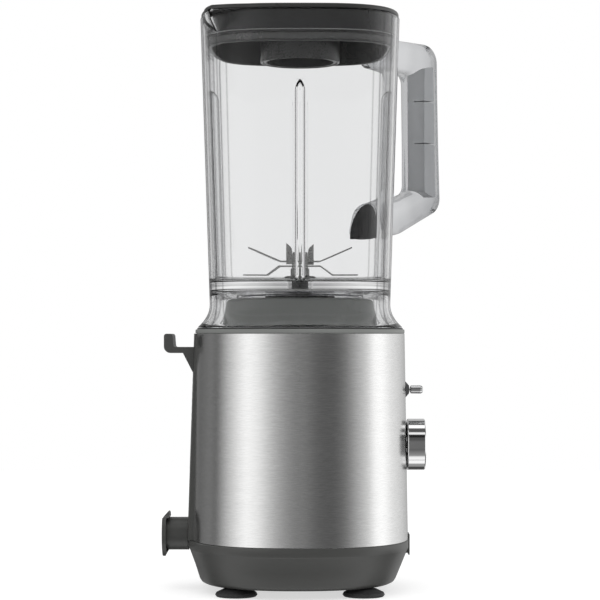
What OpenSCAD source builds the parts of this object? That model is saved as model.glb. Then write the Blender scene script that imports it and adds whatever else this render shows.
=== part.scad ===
// Countertop blender: a square clear jug with lid, handle and blade unit on a steel-sleeved motor base.
// Millimetres. Z = 0 is the counter, the drive axis is the Z axis and the controls face +X.

/* [Base] */
// Half width of the steel sleeve at its lower edge
sleeve_half = 82.8; // [80:0.2:88]
// How far each side of the sleeve leans in by its upper edge
sleeve_lean = 2.6; // [1:0.2:4]
// Thickness of the steel sheet
steel_t = 0.8; // [0.5:0.1:1.2]
// Height of the lower edge of the sleeve above the counter
sleeve_bottom = 39; // [36:1:44]
// Height of the upper edge of the sleeve above the counter
sleeve_top = 196; // [192:1:215]
// Squareness of the base outline: 2 is round and a larger number is squarer
base_square = 2.4; // [2.2:0.1:2.8]
// Height of the grey rim above the sleeve
rim_h = 3.2; // [2:0.2:6]
// Wall of the plastic mouldings of the base
shell_wall = 2.5; // [2:0.1:3.5]

/* [Tray and feet] */
// Height of the underside of the tray above the counter
tray_lift = 6.2; // [5:0.2:9]
// Half width of the tray at the foot of its sloping side
tray_half = 75.2; // [72:0.2:78]
// Height of the upright band round the top of the tray
tray_band = 7; // [4:0.5:10]
// Radius of a suction foot
foot_r = 15.8; // [12:0.2:18]
// Distance of each foot from the middle of the base, along X and along Y
foot_pitch = 47.5; // [42:0.5:50]

/* [Back] */
// Half width of the back panel
panel_half = 24; // [22:0.5:34]
// How far the back panel stands proud of the sleeve at its lower edge
panel_proud = 3.5; // [1.5:0.1:5]
// Number of air slots in the back panel
slot_count = 7; // [4:1:8]
// Drop from the upper edge of the sleeve to the top of the cord hook's arm
hook_drop = 10.4; // [8:0.2:26]
// How far the cord hook stands out from the sleeve
hook_out = 20.9; // [16:0.1:29]
// Width of the cord hook
hook_w = 34; // [20:1:44]
// Height of the cord post's axis above the counter
post_z = 42.3; // [41:0.1:50]
// Radius of the cord post
post_r = 12.6; // [10:0.1:14]
// Radius of the end plate of the cord post
plate_r = 17.5; // [16:0.1:19]

/* [Controls] */
// Height of the speed knob's axis above the counter
knob_z = 110.6; // [104:0.2:118]
// Radius of the speed knob
knob_r = 19.7; // [15:0.1:23]
// Depth of the speed knob, front to back
knob_depth = 13.7; // [10:0.1:20]
// Height of the pulse lever's axis above the counter
toggle_z = 152.9; // [146:0.1:160]
// Length of the pulse lever in front of its boot
toggle_len = 9.8; // [7:0.1:14]
// Swing of the pulse lever to each side, in degrees
toggle_swing = 10; // [5:1:12]

/* [Jug] */
// Height of the jug from the foot of its skirt to its rim
jug_h = 234.3; // [220:0.5:280]
// Half width of the jug at its rim
jug_half_top = 76; // [74:0.2:80]
// Half width of the jug just above its skirt
jug_half_low = 69; // [68:0.2:72]
// Half width of the skirt where it stands on the base
skirt_half = 78.8; // [76:0.2:79]
// Height of the flared skirt
skirt_h = 18.2; // [16:0.2:22]
// Thickness of the jug's walls
jug_wall = 3; // [2.4:0.1:3.6]
// Thickness of the jug's floor
floor_t = 4.5; // [3:0.1:6]
// Height of the underside of the jug's floor above the foot of the skirt
floor_rise = 28.5; // [28:0.1:36]
// Squareness of the jug's outline: 2 is round and a larger number is squarer
jug_square = 3.2; // [2.8:0.1:3.6]
// Width of the ribs inside the walls
rib_w = 7; // [5:0.5:9]
// How far the ribs stand out from the walls
rib_d = 7; // [4:0.5:9]
// Height of the ribs above the jug's floor
rib_h = 149; // [80:1:165]
// How far the pouring spout stands out from the corner
spout_out = 9; // [5:0.5:11]
// Height of the pouring spout below the rim
spout_h = 16; // [10:1:24]

/* [Handle] */
// Distance of the handle's outer face from the drive axis
grip_reach = 152; // [146:0.5:160]
// Thickness of the grip between the finger gap and the outer face
grip_t = 25; // [20:0.5:28]
// Width of the handle across the grip
grip_w = 25; // [20:0.5:30]
// Rounding of the handle's long edges
grip_round = 8; // [4:0.5:9]
// Drop from the jug's rim to the top of the handle
grip_drop = 2.8; // [1:0.2:8]
// Height of the lower end of the grip above the foot of the skirt
grip_low = 97; // [92:1:110]

/* [Blades] */
// Radius of the blade shaft
spindle_r = 3.5; // [3:0.1:4]
// Height of the first blade above the jug's floor
blade_rise = 12.9; // [12.5:0.1:16]
// Thickness of a blade
blade_t = 1.2; // [1:0.1:1.6]
// Radius swept by the lower blades
lower_blade_r = 45.5; // [36:0.5:52]
// Radius swept by the upper blades
upper_blade_r = 40.5; // [30:0.5:48]
// Height of the upright blades above their root
upright_h = 15.6; // [10:0.2:22]

/* [Lid] */
// Half width of the lid's rim
lid_half = 75.3; // [74:0.1:77]
// Thickness of the lid's rim
lid_t = 3.3; // [2.5:0.1:5]
// Depth of the lid's plug below the jug's rim
plug_depth = 23.7; // [20:0.1:32]
// Outer radius of the collar round the filler cap
collar_r = 30.7; // [24:0.1:36]
// Depth of the collar below the jug's rim
collar_depth = 31; // [26:0.2:36]
// How far the filler cap stands above the lid
cap_rise = 3; // [1.5:0.5:8]

/* [Motor] */
// Radius of the armature
armature_r = 24.4; // [20:0.1:26]
// Length of the stator's stack of laminations
stack_l = 44; // [34:1:46]
// Half width of the stator across its flats
stator_half = 38; // [36:0.5:42]
// Radius of the motor shaft
shaft_r = 4; // [3:0.1:5]
// Radius of the cooling fan
fan_r = 36; // [28:0.5:38]

/* [Fits] */
// Gap between bodies that move apart
part_gap = 0.3; // [0.2:0.05:0.5]
// Radial running clearance of a shaft in its bearing
run_gap = 0.05; // [0.02:0.01:0.1]
// Gap between pieces that are assembled together
seat_gap = 0.1; // [0.05:0.05:0.3]

/* [Hidden] */
$fn = 64;

// Heights that follow from one another, from the counter upwards
deck_top = sleeve_top + rim_h;
seat_t = 1;
foot_z = deck_top + seat_t + part_gap;
skirt_top = foot_z + skirt_h;
floor_low = foot_z + floor_rise;
floor_z = floor_low + floor_t;
rim_z = foot_z + jug_h;
lid_low = rim_z + part_gap;
lid_top = lid_low + lid_t;
ped_top = floor_low - 6;
well_floor = ped_top - 18;
well_r = 24;
ped_half_top = 57;
ped_half_low = 60;
tray_band_low = sleeve_bottom - tray_band;
tray_floor_t = 2.5;
tray_floor_top = tray_lift + tray_floor_t;
deck_skirt = 8;
deck_wall = shell_wall;

// Widths that follow
back_shift = -1.7;
tray_a = sleeve_half + 1.8;
jug_lean = (jug_half_top - jug_half_low) / (rim_z - skirt_top);
jug_draft = atan(jug_lean);

// Motor stack, from the top bracket downwards
motor_top = sleeve_top - 22;
plate_t = 3.5;
bearing_r = 11;
bearing_h = 7;
stack_top = motor_top - 27;
stack_low = stack_top - stack_l;
coil_end = 9;
winding_end = 9;
comm_r = 13;
comm_top = stack_low - winding_end - 3;
comm_h = 18;
lower_plate_top = comm_top - comm_h - 10;
bracket_r = 51;
bolt_pitch = 31;
bolt_r = 2;
mount_pitch = 45;
mount_r = 6.5;
mount_h = 8;
fan_top = lower_plate_top - plate_t - bearing_h - 3;
fan_h = 13;
shroud_gap = 2.5;
post_x = 20;
post_y = sleeve_half - 20.8;
pillar_r = 5;
screw_r = 1.5;
post_screw_r = screw_r + seat_gap;
boss_top = tray_floor_top + 8;
pillar_low = boss_top + seat_gap;

// Switches behind the front of the sleeve
panel_x = sleeve_half - 10.8;
panel_t = 2.5;
panel_w = 60;
panel_tab_w = 48;
spindle_hole_r = 5;
knob_spindle_r = 3;
switch_collar_r = 4.7;
bushing_r = 4.4;
ball_r = 2.6;
pin_r = 1.1;
pin_half = bushing_r - 0.4;
stem_r = 1.5;
lever_r = 3.1;
boot_r = 6.4;
boot_h = 2.9;
boot_reach = 1.4 + seat_gap + boot_h;
boot_bore = max(ball_r + run_gap, stem_r / cos(toggle_swing) + boot_reach * tan(toggle_swing) + part_gap);
board_x = panel_x - 12;
board_low = 46;
board_h = 46;
board_w = 50;
board_t = 1.6;
board_inset = 4;

// Lip of the tray inside the sleeve, feet, screws and the back's fittings
lip_h = 5;
lip_a = sleeve_half - steel_t - seat_gap - 0.2;
foot_stem_r = 3.6;
head_sink = 1.6;
gland_y = panel_half - 9;
gland_z = 66;
gland_r = 5;
gland_flange_r = gland_r + 1.5;
gland_flange_t = 1.8;
gland_seat = side_at(panel_at(gland_z), gland_y + gland_flange_r) - 0.5;
hook_z = sleeve_top - hook_drop;
hook_reach = sleeve_half + hook_out;
plate_x = hook_reach - 1.5;
end_plate_t = 3.1;
end_plate_lip = 2.3;
slot_pitch = 5.4;
slot_h = 2.4;
slot_low = 130;
slot_half = panel_half - 11;

// Blade stack, from the jug's floor upwards
neck_r = 9.4;
flange_r = 12.3;
gasket_t = 0.7;
flange_t = 3.8;
collar_top = floor_z + 11.5;
bush_r = 5.5;
washer_t = 0.9;
blade_z = floor_z + blade_rise;
upright_z = blade_z + blade_t + washer_t;
upper_z = upright_z + blade_t + washer_t;
nut_z = upper_z + blade_t;
hub_r = 8;
nut_r = 5.2;
nut_h = 5.6;
under_nut_r = 27;
under_nut_h = 4.3;

// Controls, measured out from the drive axis
toggle_pivot_x = sleeve_at(toggle_z) + seat_gap + boot_h - boot_reach;
knob_back = sleeve_at(knob_z - knob_r) + part_gap;

// Stator windows, brush gear and rotor pieces
window_in = armature_r + 3;
window_out = stator_half - 3;
coil_turn = 64;
coil_span = 13;
brush_w = 6;
brush_h = 9;
brush_z = comm_top - comm_h / 2;
brush_back = comm_r + part_gap + 14;
holder_wall = 1.5;
holder_in = comm_r + 2;
holder_len = 26;
spring_turns = 5;
spring_wire = 0.35;
fan_low = fan_top - fan_h;

// Drive coupling and the splined dog that drops into it
coupling_low = well_floor + 1.5;
coupling_top = ped_top - 1.5;
coupling_r = 14;
socket_floor = coupling_low + 4;
teeth = 6;
tooth_w = 2.4;
tooth_r = 8.3;
dog_r = 6.3;
dog_play = 0.4;

// Handle, in the plane of its corner: out from the drive axis and up
root_r = jug_half_low + 3;
grip_top = rim_z - grip_drop;
grip_foot = foot_z + grip_low;
handle_points = [
  [root_r, grip_foot - 28],
  [root_r + 34, grip_foot - 21.5],
  [grip_reach + 2, grip_foot],
  [grip_reach - 2.5, grip_top],
  [root_r, grip_top - 0.5]
];
handle_radii = [1, 30, 13, 14, 1];
gap_points = [
  [root_r - 12, grip_foot - 2.5],
  [root_r + 33, grip_foot + 7],
  [grip_reach - grip_t + 0.5, grip_foot + 14],
  [grip_reach - grip_t - 0.5, grip_top - 25.5],
  [root_r - 12, grip_top - 23.7]
];
gap_radii = [1, 12, 10, 9, 1];

// Outline of the grey core, set back inside the grip
core_inset = 3.2;
core_points = [
  [grip_reach - grip_t + 5, grip_foot + 11],
  [grip_reach - 1, grip_foot + 5],
  [grip_reach - 4, grip_top - 14],
  [grip_reach - grip_t + 4.5, grip_top - 17]
];
core_w = grip_w - 10;

// Flared root of the handle's lower arm, and the dark plug let into it
root_low = grip_foot - 28;
root_half = grip_w / 2 + 7;
root_rise = 32;
plug_rim = 2.2;
arm_plug_in = seat_gap;
arm_plug_t = 2.5;
core_lines = [0.395, 0.65];

// Lid plug, collar and filler cap
plug_low = rim_z - plug_depth;
plug_half = jug_at(plug_low) - jug_wall - 2.2;
plug_wall = 2.4;
collar_t = 2;
collar_low = rim_z - collar_depth;
cap_r = collar_r - collar_t - part_gap;
cap_wall = 2.2;
cap_flange_r = collar_r + 2.6;
cap_sink = 1.8;
seal_z = collar_low + 13;
seal_h = 2.4;
seal_sink = 1.1;

function sgn(v) = v > 0 ? 1 : v < 0 ? -1 : 0;
function unit(v) = v / norm(v);

// Outline of a rounded square with half sizes a and b, moved by shift along X
function squircle(a, b, square, shift = 0, count = 64) = [
  for (i = [0:count - 1])
    let (t = 360 * i / count)
    [shift + a * sgn(cos(t)) * pow(abs(cos(t)), 2 / square), b * sgn(sin(t)) * pow(abs(sin(t)), 2 / square)]
];

// Half width of the sleeve and of the jug at a height
function sleeve_at(z) = sleeve_half - sleeve_lean * (z - sleeve_bottom) / (sleeve_top - sleeve_bottom);
function jug_at(z) = jug_half_low + jug_lean * (z - skirt_top);

// Half width of the back panel at a height, and how far out the base's side lies at a sideways offset
function panel_at(z) =
  let (lean = sleeve_lean + panel_proud * 0.7)
  sleeve_half + panel_proud - lean * (z - sleeve_bottom) / (sleeve_top - sleeve_bottom);
function side_at(half, y) = half * pow(1 - pow(abs(y) / half, base_square), 1 / base_square);

// Corner of a closed outline moved inwards by d along both edges that meet there
function inset_point(pts, i, d) =
  let (
    n = len(pts),
    p = pts[i],
    u = unit(p - pts[(i + n - 1) % n]),
    v = unit(pts[(i + 1) % n] - p),
    nu = [-u[1], u[0]],
    nv = [-v[1], v[0]]
  )
  p + d * (nu + nv) / (1 + nu * nv);

// Arc of radius r that rounds the corner at b between its neighbours a and c
function corner_arc(a, b, c, r, steps) =
  let (
    u = unit(a - b),
    v = unit(c - b),
    half = acos(u * v) / 2,
    mid = b + unit(u + v) * r / sin(half),
    from = unit(b + u * r / tan(half) - mid),
    to = unit(b + v * r / tan(half) - mid)
  )
  [for (k = [0:steps]) mid + r * unit(from * (1 - k / steps) + to * (k / steps))];

// Counter-clockwise outline with rounded corners, moved inwards by d
function rounded_outline(pts, radii, d, steps = 6) =
  let (
    n = len(pts),
    moved = [for (i = [0:n - 1]) inset_point(pts, i, d)]
  )
  [
    for (i = [0:n - 1])
      let (
        a = pts[(i + n - 1) % n],
        c = pts[(i + 1) % n],
        turn = (pts[i][0] - a[0]) * (c[1] - pts[i][1]) - (pts[i][1] - a[1]) * (c[0] - pts[i][0]),
        r = turn > 0 ? max(radii[i] - d, 0.2) : radii[i] + d
      )
      each corner_arc(moved[(i + n - 1) % n], moved[i], moved[(i + 1) % n], r, steps)
  ];

// Solid through a stack of outlines, each given as [height, points]
module loft(rings) {
  n = len(rings[0][1]);
  last = len(rings) - 1;
  points = [for (ring = rings) for (p = ring[1]) [p[0], p[1], ring[0]]];
  low = [[for (i = [0:n - 1]) i]];
  top = [[for (i = [0:n - 1]) last * n + n - 1 - i]];
  sides = [
    for (k = [0:last - 1])
      for (i = [0:n - 1])
        let (j = (i + 1) % n, a = k * n, b = a + n)
        each [[a + i, b + i, b + j], [a + i, b + j, a + j]]
  ];
  polyhedron(points = points, faces = concat(low, top, sides), convexity = 10);
}

// Solid through rounded squares, each given as [height, half x, half y, squareness, shift]
module squircle_loft(rings) {
  loft([for (r = rings) [r[0], squircle(r[1], r[2], r[3], r[4])]]);
}

// Ring between two radii
module ring(outer, inner, h) {
  difference() {
    cylinder(r = outer, h = h);
    translate([0, 0, -1]) cylinder(r = inner, h = h + 2);
  }
}

// Pan-head screw along +Z with its head below z = 0
module screw(r, length, head_r, head_h) {
  cylinder(r = r, h = length);
  translate([0, 0, -head_h])
    difference() {
      cylinder(r = head_r, h = head_h);
      for (a = [0, 90])
        rotate([0, 0, a])
          translate([-head_r * 0.55, -0.4, -1]) cube([head_r * 1.1, 0.8, 1 + head_h * 0.55]);
    }
}

// Children copied to the four corners at (+-x, +-y)
module corners(x, y) {
  for (sx = [-1, 1])
    for (sy = [-1, 1])
      translate([sx * x, sy * y, 0]) children();
}

// Children copied round the axis
module around(count, start = 0) {
  for (i = [0:count - 1])
    rotate([0, 0, start + i * 360 / count]) children();
}

// Splined hub: a core with square teeth
module spline(core_r, tip_r, tooth_w, count, h) {
  cylinder(r = core_r, h = h);
  around(count) translate([0, -tooth_w / 2, 0]) cube([tip_r, tooth_w, h]);
}

// ---- Base housing ----

module sleeve_body(inset, low, high) {
  squircle_loft([
    [low, sleeve_at(low) - inset, sleeve_at(low) - inset, base_square, 0],
    [high, sleeve_at(high) - inset, sleeve_at(high) - inset, base_square, 0]
  ]);
}

module steel_shell() {
  color("silver")
    difference() {
      sleeve_body(0, sleeve_bottom, sleeve_top);
      sleeve_body(steel_t, sleeve_bottom - 1, sleeve_top + 1);
      translate([-sleeve_half - 5, -panel_half - seat_gap, sleeve_bottom - 1])
        cube([sleeve_half, 2 * (panel_half + seat_gap), sleeve_top - sleeve_bottom + 2]);
      along_x(knob_z) cylinder(r = spindle_hole_r, h = sleeve_half + 5);
      along_x(toggle_z) cylinder(r = bushing_r + seat_gap, h = sleeve_half + 5);
    }
}

module pedestal(inset, low, high, edge) {
  top_a = ped_half_top - inset;
  low_a = ped_half_low - inset;
  squircle_loft([
    [low, low_a, low_a, jug_square - 0.2, 0],
    [high - edge, top_a, top_a, jug_square - 0.2, 0],
    [high - edge * 0.3, top_a - edge * 0.3, top_a - edge * 0.3, jug_square - 0.2, 0],
    [high, top_a - edge, top_a - edge, jug_square - 0.2, 0]
  ]);
}

module top_deck() {
  rim_a = sleeve_at(sleeve_top);
  skirt_a = rim_a - steel_t - seat_gap;
  hollow_a = skirt_a - deck_wall;
  under = sleeve_top - deck_skirt;
  color("dimgray")
    difference() {
      union() {
        squircle_loft([
          [sleeve_top + seat_gap, rim_a, rim_a, base_square, 0],
          [deck_top - 0.8, rim_a, rim_a, base_square, 0],
          [deck_top, rim_a - 0.8, rim_a - 0.8, base_square, 0]
        ]);
        squircle_loft([
          [under, skirt_a, skirt_a, base_square, 0],
          [sleeve_top + 1, skirt_a, skirt_a, base_square, 0]
        ]);
        pedestal(0, deck_top - 1, ped_top, 2.4);
      }
      difference() {
        union() {
          squircle_loft([
            [under - 1, hollow_a, hollow_a, base_square, 0],
            [deck_top - deck_wall, hollow_a, hollow_a, base_square, 0]
          ]);
          pedestal(deck_wall, deck_top - deck_wall - 1, ped_top - deck_wall, 1);
        }
        cylinder(r = well_r + deck_wall, h = ped_top);
        corners(post_x, post_y) cylinder(r = pillar_r, h = deck_top);
        around(4) translate([mount_pitch, 0, 0]) cylinder(r = pillar_r, h = ped_top);
      }
      translate([0, 0, well_floor]) cylinder(r = well_r, h = ped_top);
      cylinder(r = shaft_r + 5, h = ped_top);
      translate([0, 0, -1]) cylinder(r = well_r + deck_wall + 1, h = well_floor - deck_wall + 1);
      corners(post_x, post_y) translate([0, 0, -1]) cylinder(r = post_screw_r, h = sleeve_top - 5);
      around(4) translate([mount_pitch, 0, -1]) cylinder(r = post_screw_r, h = sleeve_top + 10);
    }
  color("dimgray") {
    corners(post_x, post_y)
      translate([0, 0, pillar_low])
        ring(pillar_r, post_screw_r, sleeve_top - deck_skirt + 1 - pillar_low);
    around(4)
      translate([mount_pitch, 0, motor_top + mount_h])
        ring(pillar_r, post_screw_r, sleeve_top - deck_skirt + 1 - motor_top - mount_h);
  }
}

module seat_ring() {
  a = skirt_half;
  color("black")
    translate([0, 0, seat_gap / 2])
      difference() {
        squircle_loft([
          [deck_top, a, a, base_square, 0],
          [deck_top + seat_t - seat_gap, a, a, base_square, 0]
        ]);
        squircle_loft([
          [deck_top - 1, a - jug_wall - 1, a - jug_wall - 1, base_square, 0],
          [deck_top + seat_t + 1, a - jug_wall - 1, a - jug_wall - 1, base_square, 0]
        ]);
      }
}

module chassis() {
  top = sleeve_bottom - seat_gap;
  inside_a = tray_half - shell_wall - 0.5;
  color("dimgray")
    difference() {
      union() {
        squircle_loft([
          [tray_lift, tray_half - 6, tray_half - 6, base_square, back_shift],
          [tray_lift + 0.5, tray_half - 3.2, tray_half - 3.2, base_square, back_shift],
          [tray_lift + 1.5, tray_half - 1.3, tray_half - 1.3, base_square, back_shift],
          [tray_lift + 3.5, tray_half, tray_half, base_square, back_shift],
          [tray_band_low, tray_a - 0.3, sleeve_half, base_square, back_shift],
          [top, tray_a - 0.1, sleeve_half, base_square, back_shift]
        ]);
        squircle_loft([
          [top - 2, lip_a, lip_a, base_square, 0],
          [top + lip_h, lip_a, lip_a, base_square, 0]
        ]);
        translate([sleeve_half - 3, -9, tray_band_low - 4]) cube([3.1, 18, tray_band + 3]);
        translate([sleeve_half + seat_gap, -9, tray_band_low - 5.5]) cube([1.2, 18, 16]);
      }
      squircle_loft([
        [tray_floor_top, inside_a - 1.5, inside_a - 1.5, base_square, back_shift],
        [tray_floor_top + 3, inside_a, inside_a, base_square, back_shift],
        [tray_band_low - 2, lip_a - shell_wall, lip_a - shell_wall, base_square, 0],
        [top + lip_h + 1, lip_a - shell_wall, lip_a - shell_wall, base_square, 0]
      ]);
      around(12)
        translate([13, -1.8, tray_lift - 1]) cube([19, 3.6, tray_floor_t + 2]);
      corners(foot_pitch, foot_pitch)
        translate([0, 0, tray_lift - 1]) cylinder(r = foot_stem_r + seat_gap, h = tray_floor_t + 4);
      corners(post_x, post_y) {
        translate([0, 0, tray_lift - 1]) cylinder(r = post_screw_r, h = 8);
        translate([0, 0, tray_lift - 1]) cylinder(r = 3.4, h = 1 + head_sink);
      }
    }
  color("dimgray")
    corners(post_x, post_y)
      translate([0, 0, tray_floor_top - 0.2])
        ring(pillar_r + 1, post_screw_r, boss_top - tray_floor_top + 0.2);
}

module suction_feet() {
  top = tray_lift - seat_gap;
  inside = tray_floor_top + seat_gap;
  color([0.14, 0.14, 0.15])
    corners(foot_pitch, foot_pitch)
      rotate_extrude()
        polygon([
          [0, 1.6], [foot_r - 6, 0.9], [foot_r - 3, 0], [foot_r - 1, 0], [foot_r, 1.3], [foot_r - 0.8, 3],
          [foot_r - 6, top - 0.6], [7, top], [foot_stem_r, top], [foot_stem_r, inside],
          [foot_stem_r + 1, inside], [foot_stem_r + 1, inside + 1], [foot_stem_r - 1, inside + 3],
          [0, inside + 3]
        ]);
}

module base_screws() {
  color("gray")
    corners(post_x, post_y)
      translate([0, 0, tray_lift + head_sink])
        screw(screw_r, boss_top - tray_lift + 10, 3.2, head_sink - 0.2);
}

// Slab of the back panel's outline, moved in by inset
module panel_body(inset) {
  low = panel_at(sleeve_bottom) - inset;
  high = panel_at(sleeve_top) - inset;
  squircle_loft([
    [sleeve_bottom + seat_gap, low, low, base_square, 0],
    [sleeve_top - seat_gap, high, high, base_square, 0]
  ]);
}

module back_panel() {
  top_a = sleeve_at(sleeve_top - deck_skirt);
  color("dimgray")
    difference() {
      intersection() {
        panel_body(0);
        translate([-sleeve_half - 20, -panel_half, sleeve_bottom])
          cube([sleeve_half, 2 * panel_half, sleeve_top - sleeve_bottom]);
      }
      sleeve_body(steel_t + shell_wall, sleeve_bottom - 1, sleeve_top + 1);
      translate([0, 0, sleeve_bottom - 1])
        linear_extrude(lip_h + 2) polygon(squircle(lip_a + seat_gap, lip_a + seat_gap, base_square));
      translate([0, 0, sleeve_top - deck_skirt - 1])
        linear_extrude(deck_skirt + 2) polygon(squircle(top_a, top_a, base_square));
      for (i = [0:slot_count - 1])
        translate([-sleeve_half - 20, -slot_half, slot_low + i * slot_pitch])
          cube([sleeve_half, 2 * slot_half, slot_h]);
      translate([-gland_seat, gland_y, gland_z])
        rotate([0, 90, 0]) {
          translate([0, 0, -2 * gland_flange_t])
            cylinder(r = gland_flange_r + seat_gap, h = 2 * gland_flange_t);
          cylinder(r = gland_r + seat_gap, h = sleeve_half / 2);
        }
    }
}

module cord_gland() {
  color([0.12, 0.12, 0.12])
    translate([-gland_seat - seat_gap, gland_y, gland_z])
      rotate([0, 90, 0])
        difference() {
          union() {
            translate([0, 0, -gland_flange_t])
              cylinder(r1 = gland_flange_r - 0.7, r2 = gland_flange_r, h = gland_flange_t);
            translate([0, 0, -1]) cylinder(r = gland_r, h = 10);
          }
          translate([0, 0, -gland_flange_t - 1]) cylinder(r = gland_r - 2, h = gland_flange_t + 3);
        }
}

module cord_hook() {
  arm_t = 4.5;
  tip_h = 10.2;
  tip_t = 7.4;
  root = sleeve_half - 6;
  color("dimgray")
    difference() {
      translate([0, hook_w / 2, 0])
        rotate([90, 0, 0])
          linear_extrude(hook_w)
            polygon(rounded_outline([
              [-hook_reach, hook_z + tip_h],
              [-hook_reach, hook_z - arm_t],
              [-hook_reach + 14.5, hook_z - arm_t],
              [-root - 5, hook_z - arm_t - 14.5],
              [-root, hook_z - arm_t - 14.5],
              [-root, hook_z],
              [-hook_reach + tip_t, hook_z],
              [-hook_reach + tip_t - 0.8, hook_z + tip_h]
            ], [2, 5, 0.5, 0.5, 0.3, 0.3, 1.5, 2], 0));
      panel_body(-seat_gap);
    }
}

module cord_post() {
  color("dimgray")
    difference() {
      translate([-plate_x, 0, post_z])
        rotate([0, 90, 0]) cylinder(r = post_r, h = plate_x - sleeve_half + 6);
      panel_body(-seat_gap);
      post_tray_cut();
    }
}

// Room for the tray behind the part of the post that is lower than the panel
module post_tray_cut() {
  squircle_loft([
    [tray_lift, tray_half + seat_gap, tray_half, base_square, back_shift],
    [tray_band_low, tray_a + seat_gap - 0.3, sleeve_half, base_square, back_shift],
    [sleeve_bottom + 2 * seat_gap, tray_a + seat_gap, sleeve_half, base_square, back_shift]
  ]);
}

module post_plate() {
  inner = -plate_x - seat_gap / 2;
  outer = inner - end_plate_t;
  over = post_z + post_r + seat_gap;
  under = post_z - post_r - seat_gap;
  color("dimgray")
    intersection() {
      translate([0, plate_r + 1, 0])
        rotate([90, 0, 0])
          linear_extrude(2 * plate_r + 2)
            polygon([
              [outer, over - 0.4], [outer, post_z - plate_r + 0.8], [outer + 0.4, post_z - plate_r],
              [outer + 1.8, post_z - plate_r], [inner + 1.3, under], [inner, under], [inner, over],
              [inner + end_plate_lip, over], [inner + end_plate_lip, post_z + plate_r - 0.8],
              [inner + end_plate_lip - 0.8, post_z + plate_r]
            ]);
      translate([outer - 1, 0, post_z]) rotate([0, 90, 0]) cylinder(r = plate_r, h = 20);
    }
}

// ---- Controls ----

// Children with their Z axis along X, on the drive axis at height z
module along_x(z) {
  translate([0, 0, z]) rotate([0, 90, 0]) children();
}

module control_bracket() {
  top = sleeve_top - deck_skirt - seat_gap;
  low = sleeve_bottom + 5;
  tab = side_at(sleeve_at(top) - steel_t, panel_tab_w / 2) - panel_x - 3 * seat_gap;
  color("dimgray")
    difference() {
      union() {
        translate([panel_x, -panel_w / 2, low]) cube([panel_t, panel_w, top - low]);
        translate([panel_x, -panel_tab_w / 2, top - 3]) cube([tab, panel_tab_w, 3]);
        board_corners() cylinder(r = 3, h = panel_x - board_x - board_t + 1);
      }
      along_x(knob_z) cylinder(r = switch_collar_r + seat_gap, h = sleeve_half);
      along_x(toggle_z) cylinder(r = bushing_r + seat_gap, h = sleeve_half);
      board_corners() translate([0, 0, -1]) cylinder(r = post_screw_r, h = 9);
    }
}

// Children at the four fixing points on the front face of the control board
module board_corners() {
  for (y = [board_inset - board_w / 2, board_w / 2 - board_inset])
    for (z = [board_low + board_inset, board_low + board_h - board_inset])
      translate([board_x + board_t + seat_gap, y, z]) rotate([0, 90, 0]) children();
}

module speed_switch() {
  body = 26;
  depth = 14;
  color([0.15, 0.15, 0.16])
    difference() {
      union() {
        translate([panel_x - seat_gap - depth, -body / 2, knob_z - body / 2]) cube([depth, body, body]);
        along_x(knob_z)
          translate([0, 0, panel_x - 1]) cylinder(r = switch_collar_r, h = panel_t + 4.5);
      }
      along_x(knob_z) cylinder(r = knob_spindle_r + run_gap, h = sleeve_half + 5);
    }
}

module toggle_switch() {
  depth = 16;
  mouth = sleeve_at(toggle_z) + 0.4;
  color([0.15, 0.15, 0.16])
    difference() {
      union() {
        translate([panel_x - seat_gap - depth, -7, toggle_z - 11]) cube([depth, 14, 22]);
        along_x(toggle_z) translate([0, 0, panel_x - 1]) cylinder(r = bushing_r, h = mouth - panel_x + 1);
      }
      along_x(toggle_z) translate([0, 0, panel_x - 6]) cylinder(r = ball_r + run_gap, h = 20);
      toggle_pin(pin_r + run_gap, bushing_r + 1);
    }
}

// Pivot pin of the pulse lever, across the bushing
module toggle_pin(r, half) {
  translate([toggle_pivot_x, half, toggle_z]) rotate([90, 0, 0]) cylinder(r = r, h = 2 * half);
}

module switch_nuts() {
  color("silver") {
    along_x(knob_z)
      translate([0, 0, panel_x + panel_t + seat_gap])
        difference() {
          cylinder(r = 7.5, h = 2.4, $fn = 6);
          translate([0, 0, -1]) cylinder(r = switch_collar_r + seat_gap / 2, h = 5);
        }
    along_x(toggle_z)
      translate([0, 0, panel_x + panel_t + seat_gap])
        difference() {
          cylinder(r = 7, h = 2, $fn = 6);
          translate([0, 0, -1]) cylinder(r = bushing_r + seat_gap / 2, h = 5);
        }
  }
}

module toggle_boot() {
  face = sleeve_at(toggle_z) + seat_gap;
  color([0.2, 0.2, 0.21])
    along_x(toggle_z)
      translate([0, 0, face])
        difference() {
          cylinder(r1 = boot_r, r2 = boot_bore + 0.45, h = boot_h);
          translate([0, 0, -1]) cylinder(r = boot_bore, h = boot_h + 2);
          translate([0, 0, -1]) cylinder(r = bushing_r + seat_gap / 2, h = 1.4);
        }
}

module toggle_lever() {
  tip = sleeve_at(toggle_z) + seat_gap + boot_h + 0.9;
  color("lightgray")
    toggle_pin(pin_r, pin_half);
  color("lightgray")
    along_x(toggle_z) {
      translate([0, 0, toggle_pivot_x]) sphere(r = ball_r);
      translate([0, 0, toggle_pivot_x]) cylinder(r = stem_r, h = tip - toggle_pivot_x + 1);
      translate([0, 0, tip])
        rotate_extrude()
          polygon([
            [0, 0], [lever_r - 0.6, 0], [lever_r, 0.6], [lever_r + 0.1, toggle_len - 2],
            [lever_r - 0.5, toggle_len - 0.6], [lever_r - 1.4, toggle_len], [0, toggle_len]
          ]);
    }
}

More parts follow.
